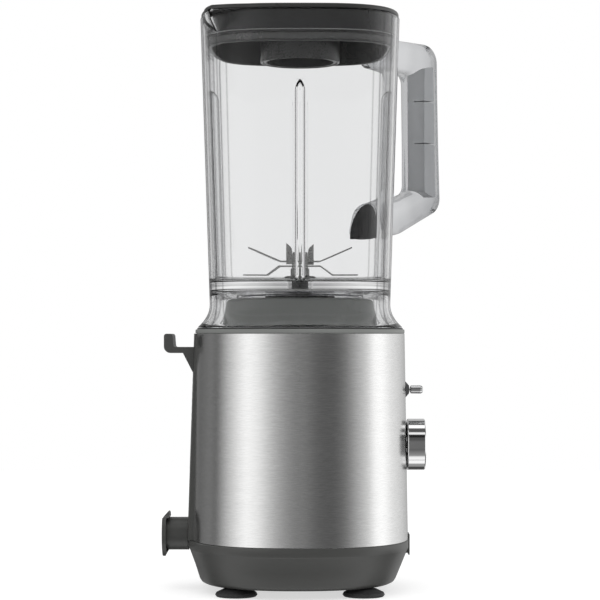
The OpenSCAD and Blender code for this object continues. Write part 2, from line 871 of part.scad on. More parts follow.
module knob() {
  edge = 0.7;
  hub = 6;
  bore = knob_spindle_r + seat_gap / 2;
  color("lightgray")
    along_x(knob_z)
      translate([0, 0, knob_back])
        rotate_extrude()
          polygon([
            [bore, 0], [hub, 0], [hub, knob_depth - 3], [knob_r - 2.2, knob_depth - 3],
            [knob_r - 2.2, 0], [knob_r - edge, 0], [knob_r, edge], [knob_r, knob_depth - edge],
            [knob_r - edge, knob_depth], [knob_r - 3, knob_depth], [knob_r - 4, knob_depth - 0.3],
            [0, knob_depth - 0.3], [0, knob_depth - 2.2], [bore, knob_depth - 2.2]
          ]);
}

module knob_spindle() {
  color("silver")
    along_x(knob_z)
      translate([0, 0, panel_x - 13])
        cylinder(r = knob_spindle_r, h = knob_back + knob_depth - 2.4 - panel_x + 13);
}

module control_board() {
  low = board_low;
  face = board_x;
  color("darkgreen")
    difference() {
      translate([face, -board_w / 2, low]) cube([board_t, board_w, board_h]);
      board_corners() translate([0, 0, -board_t - 1]) cylinder(r = post_screw_r, h = board_t + 2);
    }
  color([0.1, 0.1, 0.1]) {
    translate([face - 12, -20, low + 24]) cube([12, 16, 13]);
    translate([face - 9, 6, low + 22]) cube([9, 12, 16]);
  }
  color("royalblue")
    translate([face - 10, 1, low + 34]) rotate([0, 90, 0]) cylinder(r = 4, h = 10);
}

module board_screws() {
  color("gray")
    board_corners()
      translate([0, 0, -board_t - 2 * seat_gap]) screw(screw_r, board_t + 7, 2.8, 1.6);
}

// ---- Motor ----

module motor_mounts() {
  color([0.1, 0.1, 0.1])
    around(4)
      translate([mount_pitch, 0, motor_top + seat_gap / 2])
        ring(mount_r, screw_r + seat_gap, mount_h - seat_gap);
}

module mount_screws() {
  color("gray")
    around(4)
      translate([mount_pitch, 0, motor_top - plate_t - seat_gap / 2])
        screw(screw_r, plate_t + mount_h + 12, 3.2, 2);
}

// Round motor plate with its bearing cup on the side that cup_up names
module motor_plate(top, r, cup_up) {
  cup = bearing_h + 1 + seat_gap;
  cup_z = cup_up ? top - plate_t : top - cup;
  color("silver")
    difference() {
      union() {
        translate([0, 0, top - plate_t]) cylinder(r = r, h = plate_t);
        translate([0, 0, cup_z]) cylinder(r = bearing_r + 2.5, h = cup);
      }
      translate([0, 0, cup_z - 1]) cylinder(r = shaft_r + 3, h = cup + 2);
      translate([0, 0, cup_up ? cup_z - 1 : cup_z + 1]) cylinder(r = bearing_r + run_gap, h = cup);
      corners(bolt_pitch, bolt_pitch)
        translate([0, 0, top - plate_t - 1]) cylinder(r = bolt_r + seat_gap, h = plate_t + 2);
      around(4, 22.5) cooling_window(top);
    }
}

// Cooling window in a motor plate
module cooling_window(top) {
  for (a = [-9, 0, 9])
    rotate([0, 0, a]) translate([bearing_r + 12, 0, top - plate_t - 1]) cylinder(r = 4.2, h = plate_t + 2);
}

module upper_bracket() {
  difference() {
    motor_plate(motor_top, bracket_r, true);
    around(4) translate([mount_pitch, 0, 0]) cylinder(r = post_screw_r, h = motor_top + 1);
  }
}

module lower_bracket() {
  motor_plate(lower_plate_top, bracket_r - 3, false);
}

module bracket_bolts() {
  low = lower_plate_top - plate_t - seat_gap / 2;
  span = motor_top - low + seat_gap / 2;
  color("gray")
    corners(bolt_pitch, bolt_pitch) {
      translate([0, 0, low]) screw(bolt_r, span + 5, 3.8, 2.6);
      translate([0, 0, low + span])
        difference() {
          cylinder(r = 3.8, h = 3, $fn = 6);
          translate([0, 0, -1]) cylinder(r = bolt_r, h = 5);
        }
    }
}

// Sector of a ring, spread either side of +X by half degrees
module sector(inner, outer, half, z, h) {
  translate([0, 0, z])
    rotate([0, 0, -half])
      rotate_extrude(angle = 2 * half)
        translate([inner, 0]) square([outer - inner, h]);
}

module stator_core() {
  color("gray")
    difference() {
      intersection() {
        translate([-stator_half, -stator_half, stack_low])
          cube([2 * stator_half, 2 * stator_half, stack_l]);
        cylinder(r = bolt_pitch * sqrt(2) + bolt_r + 3, h = stack_top + 1);
      }
      cylinder(r = armature_r + 1, h = stack_top + 1);
      for (side = [0, 180])
        for (a = [-coil_turn, coil_turn])
          rotate([0, 0, side + a]) sector(window_in, window_out, coil_span, stack_low - 1, stack_l + 2);
      corners(bolt_pitch, bolt_pitch) cylinder(r = bolt_r + seat_gap, h = stack_top + 1);
    }
}

module field_coils() {
  gap = 0.5;
  color([0.72, 0.38, 0.18])
    for (side = [0, 180])
      rotate([0, 0, side])
        difference() {
          sector(window_in + gap, window_out - gap, coil_turn + coil_span - 1, stack_low - coil_end,
            stack_l + 2 * coil_end);
          sector(window_in, window_out, coil_turn - coil_span + 1, stack_low - gap, stack_l + 2 * gap);
        }
}

// Ball bearing with a groove in each face between its rings
module bearing(z) {
  color("silver")
    translate([0, 0, z])
      difference() {
        ring(bearing_r, shaft_r + run_gap, bearing_h);
        for (face = [-0.5, bearing_h - 0.5])
          translate([0, 0, face]) ring(bearing_r - 2, shaft_r + 2, 1);
      }
}

module upper_bearing() {
  bearing(motor_top - plate_t);
}

module lower_bearing() {
  bearing(lower_plate_top - bearing_h - seat_gap / 2);
}

module brush_holders() {
  low = lower_plate_top + seat_gap / 2;
  color([0.75, 0.6, 0.3])
    for (side = [90, 270])
      rotate([0, 0, side])
        difference() {
          translate([holder_in, -brush_w / 2 - holder_wall, low])
            cube([holder_len, brush_w + 2 * holder_wall, brush_z + brush_h / 2 + holder_wall - low]);
          translate([holder_in - 1, -brush_w / 2 - seat_gap / 2, brush_z - brush_h / 2 - seat_gap / 2])
            cube([holder_len - 1, brush_w + seat_gap, brush_h + seat_gap]);
        }
}

module carbon_brushes() {
  color([0.12, 0.12, 0.12])
    for (side = [90, 270])
      rotate([0, 0, side])
        difference() {
          translate([comm_r - 1, -brush_w / 2, brush_z - brush_h / 2])
            cube([brush_back - comm_r + 1, brush_w, brush_h]);
          translate([0, 0, brush_z - brush_h]) cylinder(r = comm_r + part_gap, h = 2 * brush_h);
        }
}

// Closed tube along a helix that starts on +X and climbs along +Z
module coil_spring(r, wire, turns, length, sides = 6, steps = 12) {
  rings = turns * steps;
  rise = (length - 2 * wire) / rings;
  points = [
    for (k = [0:rings])
      for (j = [0:sides - 1])
        let (turn = 360 * k / steps, around_wire = 360 * j / sides, reach = r + wire * cos(around_wire))
        [reach * cos(turn), reach * sin(turn), wire + k * rise + wire * sin(around_wire)]
  ];
  ends = [[for (j = [0:sides - 1]) sides - 1 - j], [for (j = [0:sides - 1]) rings * sides + j]];
  skin = [
    for (k = [0:rings - 1])
      for (j = [0:sides - 1])
        let (a = k * sides + j, b = k * sides + (j + 1) % sides)
        each [[a, b + sides, a + sides], [a, b, b + sides]]
  ];
  polyhedron(points = points, faces = concat(ends, skin), convexity = 10);
}

module brush_springs() {
  length = holder_in + holder_len - 2 - brush_back - 2 * seat_gap;
  color("silver")
    for (side = [90, 270])
      rotate([0, 0, side])
        translate([brush_back + seat_gap, 0, brush_z])
          rotate([0, 90, 0]) coil_spring(2.3, spring_wire, spring_turns, length);
}

module air_shroud() {
  color("dimgray")
    translate([0, 0, tray_floor_top + seat_gap])
      ring(fan_r + shroud_gap + 2, fan_r + shroud_gap, fan_top + 1 - tray_floor_top);
}

// ---- Rotor ----

module motor_shaft() {
  low = fan_low - 2;
  color("silver") translate([0, 0, low]) cylinder(r = shaft_r, h = socket_floor - 0.5 - low);
}

module armature_core() {
  slots = 12;
  color("gray")
    difference() {
      translate([0, 0, stack_low]) ring(armature_r, shaft_r + seat_gap / 2, stack_l);
      around(slots)
        translate([armature_r - 4, 0, stack_low - 1]) {
          cylinder(r = 2.2, h = stack_l + 2);
          translate([0, -0.9, 0]) cube([6, 1.8, stack_l + 2]);
        }
    }
}

module armature_windings() {
  bore = shaft_r + seat_gap / 2;
  color([0.72, 0.38, 0.18])
    for (end = [0, 1])
      translate([0, 0, end * (stack_l + winding_end + 2 * seat_gap) + stack_low - winding_end - seat_gap])
        rotate_extrude()
          polygon([
            [bore, 0], [armature_r - 8, 0], [armature_r - 4, 1.5], [armature_r - 2, winding_end / 2],
            [armature_r - 4, winding_end - 1.5], [armature_r - 8, winding_end], [bore, winding_end]
          ]);
}

module commutator() {
  bars = 18;
  color([0.72, 0.45, 0.2])
    translate([0, 0, comm_top - comm_h])
      difference() {
        ring(comm_r, shaft_r + seat_gap / 2, comm_h);
        around(bars) translate([comm_r - 1.5, -0.3, -1]) cube([3, 0.6, comm_h + 2]);
      }
}

module cooling_fan() {
  blades = 9;
  hub = 9;
  color("black")
    translate([0, 0, fan_low]) {
      translate([0, 0, fan_h - 2]) ring(fan_r, shaft_r + seat_gap / 2, 2);
      ring(hub, shaft_r + seat_gap / 2, fan_h);
      around(blades)
        translate([hub - 1, 0, 0])
          rotate([0, 0, 14]) translate([0, -0.8, 0]) cube([fan_r - hub - 3, 1.6, fan_h - 1]);
    }
}

module drive_coupling() {
  color([0.15, 0.15, 0.15])
    translate([0, 0, coupling_low])
      difference() {
        cylinder(r = coupling_r, h = coupling_top - coupling_low);
        translate([0, 0, -1]) cylinder(r = shaft_r + seat_gap / 2, h = coupling_top);
        translate([0, 0, socket_floor - coupling_low])
          spline(dog_r + dog_play, tooth_r + dog_play, tooth_w + 2 * dog_play, teeth, coupling_top);
      }
}

// ---- Jug ----

module handle_blank() {
  rotate([0, 0, 45])
    rotate([90, 0, 0])
      difference() {
        handle_side(handle_points, handle_radii, 1, 0);
        handle_side(gap_points, gap_radii, -1, 1);
      }
}

// Slab of the handle's width whose outline draws in towards both faces, or spreads for a sign of -1
module handle_side(points, radii, sign, over) {
  steps = 4;
  half = grip_w / 2;
  draw_in = grip_round * 0.8;
  side = [
    for (k = [0:steps])
      let (t = 90 * k / steps)
      [half - grip_round * (1 - cos(t)), rounded_outline(points, radii, sign * draw_in * (1 - sin(t)))]
  ];
  face = over > 0 ? [[half + over, side[0][1]]] : [];
  half_rings = concat(face, side);
  last = len(half_rings) - 1;
  loft(concat(
    [for (r = half_rings) [-r[0], r[1]]],
    [for (k = [last:-1:0]) half_rings[k]]
  ));
}

// Arch on the jug's corner, drawn in by inset, between two distances from the drive axis
module root_arch(inset, from, to) {
  half = root_half - inset;
  low = root_low + inset;
  spring = low + 3;
  crown = root_low + root_rise - inset;
  rotate([0, 0, 45])
    translate([from, 0, 0])
      rotate([90, 0, 90])
        linear_extrude(to - from)
          polygon(concat(
            [[-half, low], [half, low]],
            [for (k = [0:12]) [half * cos(15 * k), spring + (crown - spring) * sin(15 * k)]]
          ));
}

// Flare that carries the lower arm's width over to the arch
module root_flare() {
  corner = jug_at(root_low) * pow(2, 0.5 - 1 / jug_square);
  hull() {
    root_arch(0, corner - 7, corner + arm_plug_in + arm_plug_t + 1.5);
    root_arch(8, corner + 8, corner + 18);
  }
}

// Curved plug that follows the jug's corner, larger by gap on every side
module plug_blank(gap) {
  low = root_low - 5;
  high = root_low + root_rise + 5;
  inner = arm_plug_in - 10 * gap;
  outer = arm_plug_in + arm_plug_t + gap;
  intersection() {
    difference() {
      squircle_loft([
        [low, jug_at(low) + outer, jug_at(low) + outer, jug_square, 0],
        [high, jug_at(high) + outer, jug_at(high) + outer, jug_square, 0]
      ]);
      squircle_loft([
        [low - 1, jug_at(low - 1) + inner, jug_at(low - 1) + inner, jug_square, 0],
        [high + 1, jug_at(high + 1) + inner, jug_at(high + 1) + inner, jug_square, 0]
      ]);
    }
    root_arch(plug_rim - gap, root_r - 5, root_r + 20);
  }
}

module core_blank(gap) {
  half = core_w / 2 + gap;
  rotate([0, 0, 45])
    rotate([90, 0, 0])
      translate([0, 0, -half])
        linear_extrude(2 * half) polygon(rounded_outline(core_points, [4, 5, 5, 4], core_inset - gap));
}

// Solid under the jug's outer surface, from the skirt to the rim
module jug_outside() {
  n = jug_square;
  low = jug_half_low;
  flare = skirt_half - low;
  squircle_loft([
    [foot_z, skirt_half, skirt_half, base_square, 0],
    [foot_z + skirt_h * 0.14, low + flare * 0.72, low + flare * 0.72, base_square + 0.15, 0],
    [foot_z + skirt_h * 0.32, low + flare * 0.42, low + flare * 0.42, n - 0.4, 0],
    [foot_z + skirt_h * 0.55, low + flare * 0.19, low + flare * 0.19, n - 0.2, 0],
    [foot_z + skirt_h * 0.8, low + flare * 0.05, low + flare * 0.05, n, 0],
    [skirt_top, low, low, n, 0],
    [rim_z, jug_half_top, jug_half_top, n, 0]
  ]);
}

// Space inside the jug, open at the rim
module jug_inside() {
  n = jug_square;
  a = jug_at(floor_z) - jug_wall;
  top = rim_z + 5;
  squircle_loft([
    [floor_z, a - 6, a - 6, n, 0],
    [floor_z + 0.9, a - 3, a - 3, n, 0],
    [floor_z + 3, a - 0.9, a - 0.9, n, 0],
    [floor_z + 6, jug_at(floor_z + 6) - jug_wall, jug_at(floor_z + 6) - jug_wall, n, 0],
    [top, jug_at(top) - jug_wall, jug_at(top) - jug_wall, n, 0]
  ]);
}

// Space under the jug's floor, inside the skirt
module jug_underside() {
  n = jug_square;
  low = jug_half_low - jug_wall;
  flare = skirt_half - jug_half_low;
  squircle_loft([
    [foot_z - 1, skirt_half - jug_wall + 0.5, skirt_half - jug_wall + 0.5, base_square, 0],
    [foot_z + skirt_h * 0.14, low + flare * 0.66, low + flare * 0.66, base_square + 0.15, 0],
    [foot_z + skirt_h * 0.32, low + flare * 0.36, low + flare * 0.36, n - 0.4, 0],
    [foot_z + skirt_h * 0.55, low + flare * 0.14, low + flare * 0.14, n - 0.2, 0],
    [floor_low - 3, low, low, n, 0],
    [floor_low, low - 3, low - 3, n, 0]
  ]);
}

// Pouring spout: the corner pulled outwards near the rim
module spout(inset) {
  corner = jug_at(rim_z) * pow(2, 0.5 - 1 / jug_square);
  lip = 1.6;
  top = rim_z - lip + inset * 3;
  low = rim_z - spout_h + inset;
  side = 15 - inset;
  rotate([0, 0, 225])
    hull() {
      spout_post(corner + spout_out - 2 * lip - inset, 0, top, lip, lip);
      for (y = [-side, side]) spout_post(corner - 8 - inset, y, top, lip, lip);
      spout_post(corner - 5 - inset, 0, low, lip, lip);
      spout_post(corner - 12 - inset, 0, low, lip, top + lip - low);
    }
}

module spout_post(x, y, z, r, h) {
  translate([x, y, z]) cylinder(r = r, h = h, $fn = 24);
}

module jug_ribs() {
  nose = rib_w / 2;
  around(4)
    translate([jug_at(floor_z) - jug_wall, 0, floor_z])
      rotate([0, jug_draft, 0]) {
        translate([-rib_d + nose, -nose, -1]) cube([rib_d, rib_w, rib_h - nose + 1]);
        translate([-rib_d + nose, 0, -1]) cylinder(r = nose, h = rib_h - nose + 1);
        translate([-rib_d + nose, 0, rib_h - nose]) sphere(r = nose);
        translate([-rib_d + nose, 0, rib_h - nose]) rotate([0, 90, 0]) cylinder(r = nose, h = rib_d);
      }
}

module jug() {
  color([0.85, 0.88, 0.9, 0.35])
    difference() {
      union() {
        difference() {
          union() {
            jug_outside();
            spout(0);
          }
          jug_inside();
          spout(jug_wall * 0.8);
          jug_underside();
        }
        jug_ribs();
        translate([0, 0, floor_low - 4]) ring(50, 47.5, 4.5);
      }
      translate([0, 0, floor_low - 5]) cylinder(r = neck_r + seat_gap, h = floor_t + 6);
    }
}

// Clear shell of the handle, whose two roots follow the jug's corner
module jug_handle() {
  low = jug_at(skirt_top) + seat_gap;
  top = rim_z + 5;
  color([0.85, 0.88, 0.9, 0.35])
    difference() {
      union() {
        handle_blank();
        root_flare();
      }
      squircle_loft([
        [skirt_top, low, low, jug_square, 0],
        [top, jug_at(top) + seat_gap, jug_at(top) + seat_gap, jug_square, 0]
      ]);
      core_blank(seat_gap);
      plug_blank(seat_gap);
    }
}

module handle_core() {
  color([0.55, 0.57, 0.58])
    difference() {
      core_blank(0);
      rotate([0, 0, 45])
        for (level = core_lines)
          translate([grip_reach - grip_t - 10, -core_w, grip_foot + level * (grip_top - grip_foot)])
            cube([grip_t + 20, core_w + 1.2, 1]);
    }
}

module arm_plug() {
  color([0.12, 0.12, 0.13]) plug_blank(0);
}

// ---- Blade unit ----

module blade_housing() {
  low = floor_low - under_nut_h - 0.4;
  seat = floor_z + gasket_t + seat_gap;
  bore = bush_r + seat_gap / 2;
  color("silver")
    rotate_extrude()
      polygon([
        [bore, low], [neck_r, low], [neck_r, seat], [flange_r, seat],
        [flange_r, seat + flange_t - 1.2], [flange_r - 1, seat + flange_t], [7.6, seat + flange_t + 0.4],
        [7.3, seat + flange_t + 0.8], [7.3, collar_top - 0.5], [6.8, collar_top], [bore, collar_top],
        [bore, collar_top - 9], [bush_r - 1, collar_top - 9], [bush_r - 1, low + 7], [bore, low + 7]
      ]);
}

module housing_gasket() {
  color([0.15, 0.15, 0.15])
    translate([0, 0, floor_z + seat_gap / 2]) ring(flange_r - 0.4, neck_r + seat_gap, gasket_t);
}

module ring_nut() {
  color([0.2, 0.2, 0.2])
    translate([0, 0, floor_low - under_nut_h - seat_gap])
      difference() {
        ring(under_nut_r, neck_r + seat_gap / 2, under_nut_h);
        around(8) translate([under_nut_r + 1, 0, -1]) cylinder(r = 3, h = under_nut_h + 2);
        translate([0, 0, -1]) ring(under_nut_r - 5, neck_r + 4, 2.2);
      }
}

module blade_bushes() {
  low = floor_low - under_nut_h - 0.4;
  color([0.7, 0.5, 0.25]) {
    translate([0, 0, low + 0.5]) ring(bush_r, spindle_r + run_gap, 6.3);
    translate([0, 0, collar_top - 8.8]) ring(bush_r, spindle_r + run_gap, 5.8);
  }
}

module shaft_seal() {
  color([0.1, 0.1, 0.1])
    translate([0, 0, collar_top - 2.8])
      difference() {
        ring(bush_r, spindle_r + run_gap, 2.6);
        translate([0, 0, 1.6]) ring(bush_r - 0.8, spindle_r + 0.5, 2);
      }
}

module blade_shaft() {
  low = socket_floor + 1.5;
  color("silver") translate([0, 0, low]) cylinder(r = spindle_r, h = nut_z + nut_h - 2.2 - low);
}

// Two-armed blade: a strip that follows a side profile, cut to a tapering plan
module blade(points, root_w, tip_w, turn, z) {
  reach = points[len(points) - 1][0];
  upper = [for (p = points) [p[0], p[1] + blade_t / 2]];
  lower = [for (i = [len(points) - 1:-1:0]) [points[i][0], points[i][1] - blade_t / 2]];
  translate([0, 0, z + blade_t / 2])
    rotate([0, 0, turn])
      difference() {
        for (arm = [0, 180])
          rotate([0, 0, arm])
            intersection() {
              translate([0, root_w, 0])
                rotate([90, 0, 0]) linear_extrude(2 * root_w) polygon(concat(upper, lower));
              translate([0, 0, -30])
                linear_extrude(60)
                  polygon([
                    [-hub_r, -root_w / 2], [reach - 12, -root_w / 2], [reach, -root_w / 2 + tip_w],
                    [reach - 4, root_w / 2 - 1], [hub_r + 6, root_w / 2], [-hub_r, root_w / 2]
                  ]);
            }
        translate([0, 0, -5]) cylinder(r = spindle_r + seat_gap / 2, h = 10);
      }
}

module lower_blade() {
  color("silver")
    blade([[-hub_r, 0], [16, 0], [25.5, -7.9], [lower_blade_r, -7.9]], 12, 3, -6, blade_z);
}

module upper_blade() {
  color("silver")
    blade([[-hub_r, 0], [15, 0], [upper_blade_r, (upper_blade_r - 15) * 0.43]], 11, 3, 3, upper_z);
}

module upright_blade() {
  fin_y = 9.2;
  fin_w = 6;
  color("silver")
    translate([0, 0, upright_z])
      difference() {
        union() {
          translate([-5, -fin_y, 0]) cube([10, 2 * fin_y, blade_t]);
          for (arm = [0, 180])
            rotate([0, 0, arm]) {
              translate([-10.6, -fin_y - blade_t, 0]) cube([15, blade_t + 1, blade_t]);
              translate([-10.6, -fin_y, 0])
                rotate([90, 0, 0])
                  linear_extrude(blade_t)
                    polygon(rounded_outline([
                      [0, 0], [fin_w, 0], [fin_w, upright_h * 0.62],
                      [fin_w * 0.55, upright_h * 0.9], [0, upright_h + blade_t]
                    ], [0.3, 0.3, 3, 3, 0.2], 0));
            }
        }
        translate([0, 0, -5]) cylinder(r = spindle_r + seat_gap / 2, h = 10);
      }
}

module blade_washers() {
  bore = spindle_r + seat_gap / 2;
  slack = seat_gap / 2;
  color("silver") {
    translate([0, 0, collar_top + part_gap]) ring(6, bore, blade_z - slack - collar_top - part_gap);
    translate([0, 0, blade_z + blade_t + slack]) ring(6, bore, washer_t - 2 * slack);
    translate([0, 0, upright_z + blade_t + slack]) ring(4.8, bore, washer_t - 2 * slack);
  }
}

module blade_nut() {
  color("silver")
    translate([0, 0, nut_z + seat_gap / 2])
      difference() {
        union() {
          cylinder(r = nut_r, h = nut_h * 0.62, $fn = 6);
          translate([0, 0, nut_h * 0.62])
            intersection() {
              sphere(r = nut_r * 0.84);
              cylinder(r = nut_r, h = nut_h * 0.38 + 1);
            }
        }
        translate([0, 0, -1]) cylinder(r = spindle_r + seat_gap / 2, h = nut_h - 2 + 1);
      }
}

module jug_coupling() {
  low = socket_floor + 1;
  shoulder = ped_top - 0.5;
  color([0.15, 0.15, 0.15])
    difference() {
      union() {
        translate([0, 0, low]) spline(dog_r, tooth_r, tooth_w, teeth, shoulder - low + 0.5);
        translate([0, 0, shoulder]) cylinder(r = 10, h = 1.2);
      }
      translate([0, 0, low - 1]) cylinder(r = spindle_r + seat_gap / 2, h = 20);
    }
}

// ---- Lid ----

module lid() {
  n = jug_square;
  edge = 1;
  corner = lid_half * pow(2, 0.5 - 1 / n);
  color([0.25, 0.25, 0.26])
    difference() {
      union() {
        squircle_loft([
          [lid_low, lid_half, lid_half, n, 0],
          [lid_top - edge, lid_half, lid_half, n, 0],
          [lid_top - edge * 0.3, lid_half - edge * 0.4, lid_half - edge * 0.4, n, 0],
          [lid_top, lid_half - edge * 1.4, lid_half - edge * 1.4, n, 0]
        ]);
        rotate([0, 0, 225])
          hull() {
            translate([corner + spout_out - 4, 0, lid_low]) cylinder(r = 2.4, h = lid_t - edge, $fn = 24);
            for (y = [-15, 15])
              translate([corner - 10, y, lid_low]) cylinder(r = 2.4, h = lid_t - edge * 0.4, $fn = 24);
          }
        difference() {
          squircle_loft([
            [plug_low, plug_half - 1.5, plug_half - 1.5, n, 0],
            [plug_low + 1.5, plug_half, plug_half, n, 0],
            [lid_low + 1, plug_half, plug_half, n, 0]
          ]);
          translate([0, 0, plug_low - 1])
            linear_extrude(lid_low - plug_low + 1)
              polygon(squircle(plug_half - plug_wall, plug_half - plug_wall, n));
        }
        translate([0, 0, collar_low]) cylinder(r = collar_r, h = lid_low + 1 - collar_low);
      }
      translate([0, 0, collar_low - 1]) cylinder(r = collar_r - collar_t, h = collar_depth + 10);
      translate([0, 0, lid_top - cap_sink]) cylinder(r = cap_flange_r + part_gap, h = cap_sink + 1);
    }
}

// Two ridged bands of soft rubber round the plug
module lid_seals() {
  n = jug_square;
  color([0.16, 0.16, 0.17])
    for (band = [[1, 6.5], [9, plug_depth - 0.3]]) {
      low = plug_low + band[0];
      top = plug_low + band[1];
      out = jug_at(low) - jug_wall - part_gap - 0.1;
      difference() {
        squircle_loft([
          [low, out - 1.2, out - 1.2, n, 0],
          [low + 1.5, out, out, n, 0],
          [top - 1.5, out, out, n, 0],
          [top, out - 1.2, out - 1.2, n, 0]
        ]);
        translate([0, 0, low - 1])
          linear_extrude(top - low + 2) polygon(squircle(plug_half + seat_gap, plug_half + seat_gap, n));
      }
    }
}

module filler_cap() {
  low = collar_low + 0.6;
  top = lid_top + cap_rise;
  under = lid_top - cap_sink;
  color([0.2, 0.2, 0.21])
    rotate_extrude()
      polygon([
        [0, under], [cap_r - cap_wall, under], [cap_r - cap_wall, low], [cap_r - 0.4, low],
        [cap_r, low + 0.6], [cap_r, seal_z], [cap_r - seal_sink, seal_z],
        [cap_r - seal_sink, seal_z + seal_h], [cap_r, seal_z + seal_h], [cap_r, under + part_gap],
        [cap_flange_r, under + part_gap],
        [cap_flange_r, top - 1], [cap_flange_r - 1, top], [0, top]
      ]);
}

module cap_seal() {
  color([0.1, 0.1, 0.1])
    translate([0, 0, seal_z + seat_gap / 2])
      rotate_extrude()
        polygon([
          [cap_r - seal_sink + seat_gap / 2, 0], [cap_r, 0], [cap_r + part_gap - 0.1, 0.6],
          [cap_r + part_gap - 0.1, seal_h - seat_gap - 0.6], [cap_r, seal_h - seat_gap],
          [cap_r - seal_sink + seat_gap / 2, seal_h - seat_gap]
        ]);
}

steel_shell();
top_deck();
seat_ring();
chassis();
back_panel();
cord_hook();
cord_post();
post_plate();
cord_gland();
suction_feet();
base_screws();
control_bracket();
speed_switch();
toggle_switch();
toggle_boot();
switch_nuts();
control_board();
board_screws();
motor_mounts();
mount_screws();
upper_bracket();
lower_bracket();
bracket_bolts();
stator_core();
field_coils();
upper_bearing();
lower_bearing();
brush_holders();
carbon_brushes();
brush_springs();
air_shroud();
motor_shaft();
armature_core();
armature_windings();
commutator();
cooling_fan();
drive_coupling();
knob();
knob_spindle();
toggle_lever();
jug();
jug_handle();
handle_core();
arm_plug();
blade_housing();
housing_gasket();
ring_nut();
blade_bushes();
shaft_seal();
blade_shaft();
lower_blade();
upright_blade();
upper_blade();
blade_washers();
blade_nut();
jug_coupling();
lid();
lid_seals();
filler_cap();
cap_seal();
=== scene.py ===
"""Countertop blender: a square clear jug on a steel-sleeved motor base.

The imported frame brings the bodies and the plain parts. Each visible part is finished here, or made
again in full, in the order in which the blender goes together, from the base up to the lid.
"""
import math

import bmesh
import bpy
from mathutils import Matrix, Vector


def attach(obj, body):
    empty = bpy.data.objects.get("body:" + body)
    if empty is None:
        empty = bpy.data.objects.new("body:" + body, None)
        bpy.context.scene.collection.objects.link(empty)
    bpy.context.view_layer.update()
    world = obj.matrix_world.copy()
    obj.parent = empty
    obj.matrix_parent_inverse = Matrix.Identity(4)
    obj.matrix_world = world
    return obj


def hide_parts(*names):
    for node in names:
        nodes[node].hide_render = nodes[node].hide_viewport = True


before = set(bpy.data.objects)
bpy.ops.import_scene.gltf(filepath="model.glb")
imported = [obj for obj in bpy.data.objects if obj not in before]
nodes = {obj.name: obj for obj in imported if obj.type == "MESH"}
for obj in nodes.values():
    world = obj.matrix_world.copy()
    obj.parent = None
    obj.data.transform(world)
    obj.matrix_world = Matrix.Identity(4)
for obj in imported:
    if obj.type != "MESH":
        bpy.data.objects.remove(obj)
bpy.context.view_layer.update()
MM = 0.001

# ---- Camera ----
# A long lens, level with the foot of the jug and square to the side of the base that has no
# controls. It is shifted and not tilted, so that the blender's uprights stay upright.
camera_away, camera_height = 1540, 193.3
image_side, image_shift = 600, 37
scene = bpy.context.scene
scene.view_settings.view_transform = "Standard"
camera = bpy.data.objects.new("camera", bpy.data.cameras.new("camera"))
camera.data.sensor_width = 36
camera.data.lens = 120
camera.data.shift_y = image_shift / image_side
camera.location = (0, -camera_away * MM, camera_height * MM)
camera.rotation_euler = (math.radians(90), 0, 0)
scene.collection.objects.link(camera)
scene.camera = camera


# ---- Studio ----
# A white room, painted in light and dark bands that the steel and the clear plastic mirror. The
# world gives its walls, roof and floor, and two soft boxes hang overhead and at the side.
class Value:
    """Output of a shader node. A sum written on it adds the Math nodes to the same tree."""

    def __init__(self, tree, socket):
        self.tree, self.socket = tree, socket

    def __add__(self, other):
        return self.tree.math("ADD", self, other)

    def __radd__(self, other):
        return self.tree.math("ADD", other, self)

    def __sub__(self, other):
        return self.tree.math("SUBTRACT", self, other)

    def __rsub__(self, other):
        return self.tree.math("SUBTRACT", other, self)

    def __mul__(self, other):
        return self.tree.math("MULTIPLY", self, other)

    def __rmul__(self, other):
        return self.tree.math("MULTIPLY", other, self)

    def __truediv__(self, other):
        return self.tree.math("DIVIDE", self, other)

    def __rtruediv__(self, other):
        return self.tree.math("DIVIDE", other, self)

    def __abs__(self):
        return self.tree.math("ABSOLUTE", self)

    def ramp(self, low, high, smooth=True):
        """0 at low and 1 at high, held beyond both."""
        kind = "SMOOTHSTEP" if smooth else "LINEAR"
        limits = {"Value": self, "From Min": low, "From Max": high}
        return self.tree.node("ShaderNodeMapRange", {"interpolation_type": kind}, limits)


class Tree:
    """Node tree of a material or of the world."""

    def __init__(self, owner):
        owner.use_nodes = True
        self.nodes, self.links = owner.node_tree.nodes, owner.node_tree.links

    def node(self, kind, settings=None, inputs=None, output=0):
        """Output of a new node. A ramp's stops are (place, level) pairs."""
        made = self.nodes.new(kind)
        for name, setting in (settings or {}).items():
            if name == "stops":
                stops = made.color_ramp.elements
                while len(stops) < len(setting):
                    stops.new(0.5)
                for stop, (place, level) in zip(stops, setting):
                    stop.position = place
                    stop.color = (level, level, level, 1)
            else:
                setattr(made, name, setting)
        for name, given in (inputs or {}).items():
            self.feed(made.inputs[name], given)
        return Value(self, made.outputs[output])

    def feed(self, socket, given):
        """Links a value to a socket, or sets the socket to a number, a colour or a vector."""
        if isinstance(given, Value):
            self.links.new(given.socket, socket)
        else:
            socket.default_value = given

    def math(self, operation, *terms):
        return self.node("ShaderNodeMath", {"operation": operation}, dict(enumerate(terms)))

    def split(self, vector):
        """The three numbers of a vector."""
        return (self.node("ShaderNodeSeparateXYZ", inputs={"Vector": vector}, output=axis)
                for axis in "XYZ")

    def ray(self, kind):
        """1 for rays of this kind and 0 for all others."""
        return self.node("ShaderNodeLightPath", output=f"Is {kind} Ray")


world = bpy.data.worlds.new("studio")
scene.world = world
room = Tree(world)
across, away, up = room.split(room.node("ShaderNodeTexCoord", output="Generated"))
near = 0 - away
brightest = 1.4


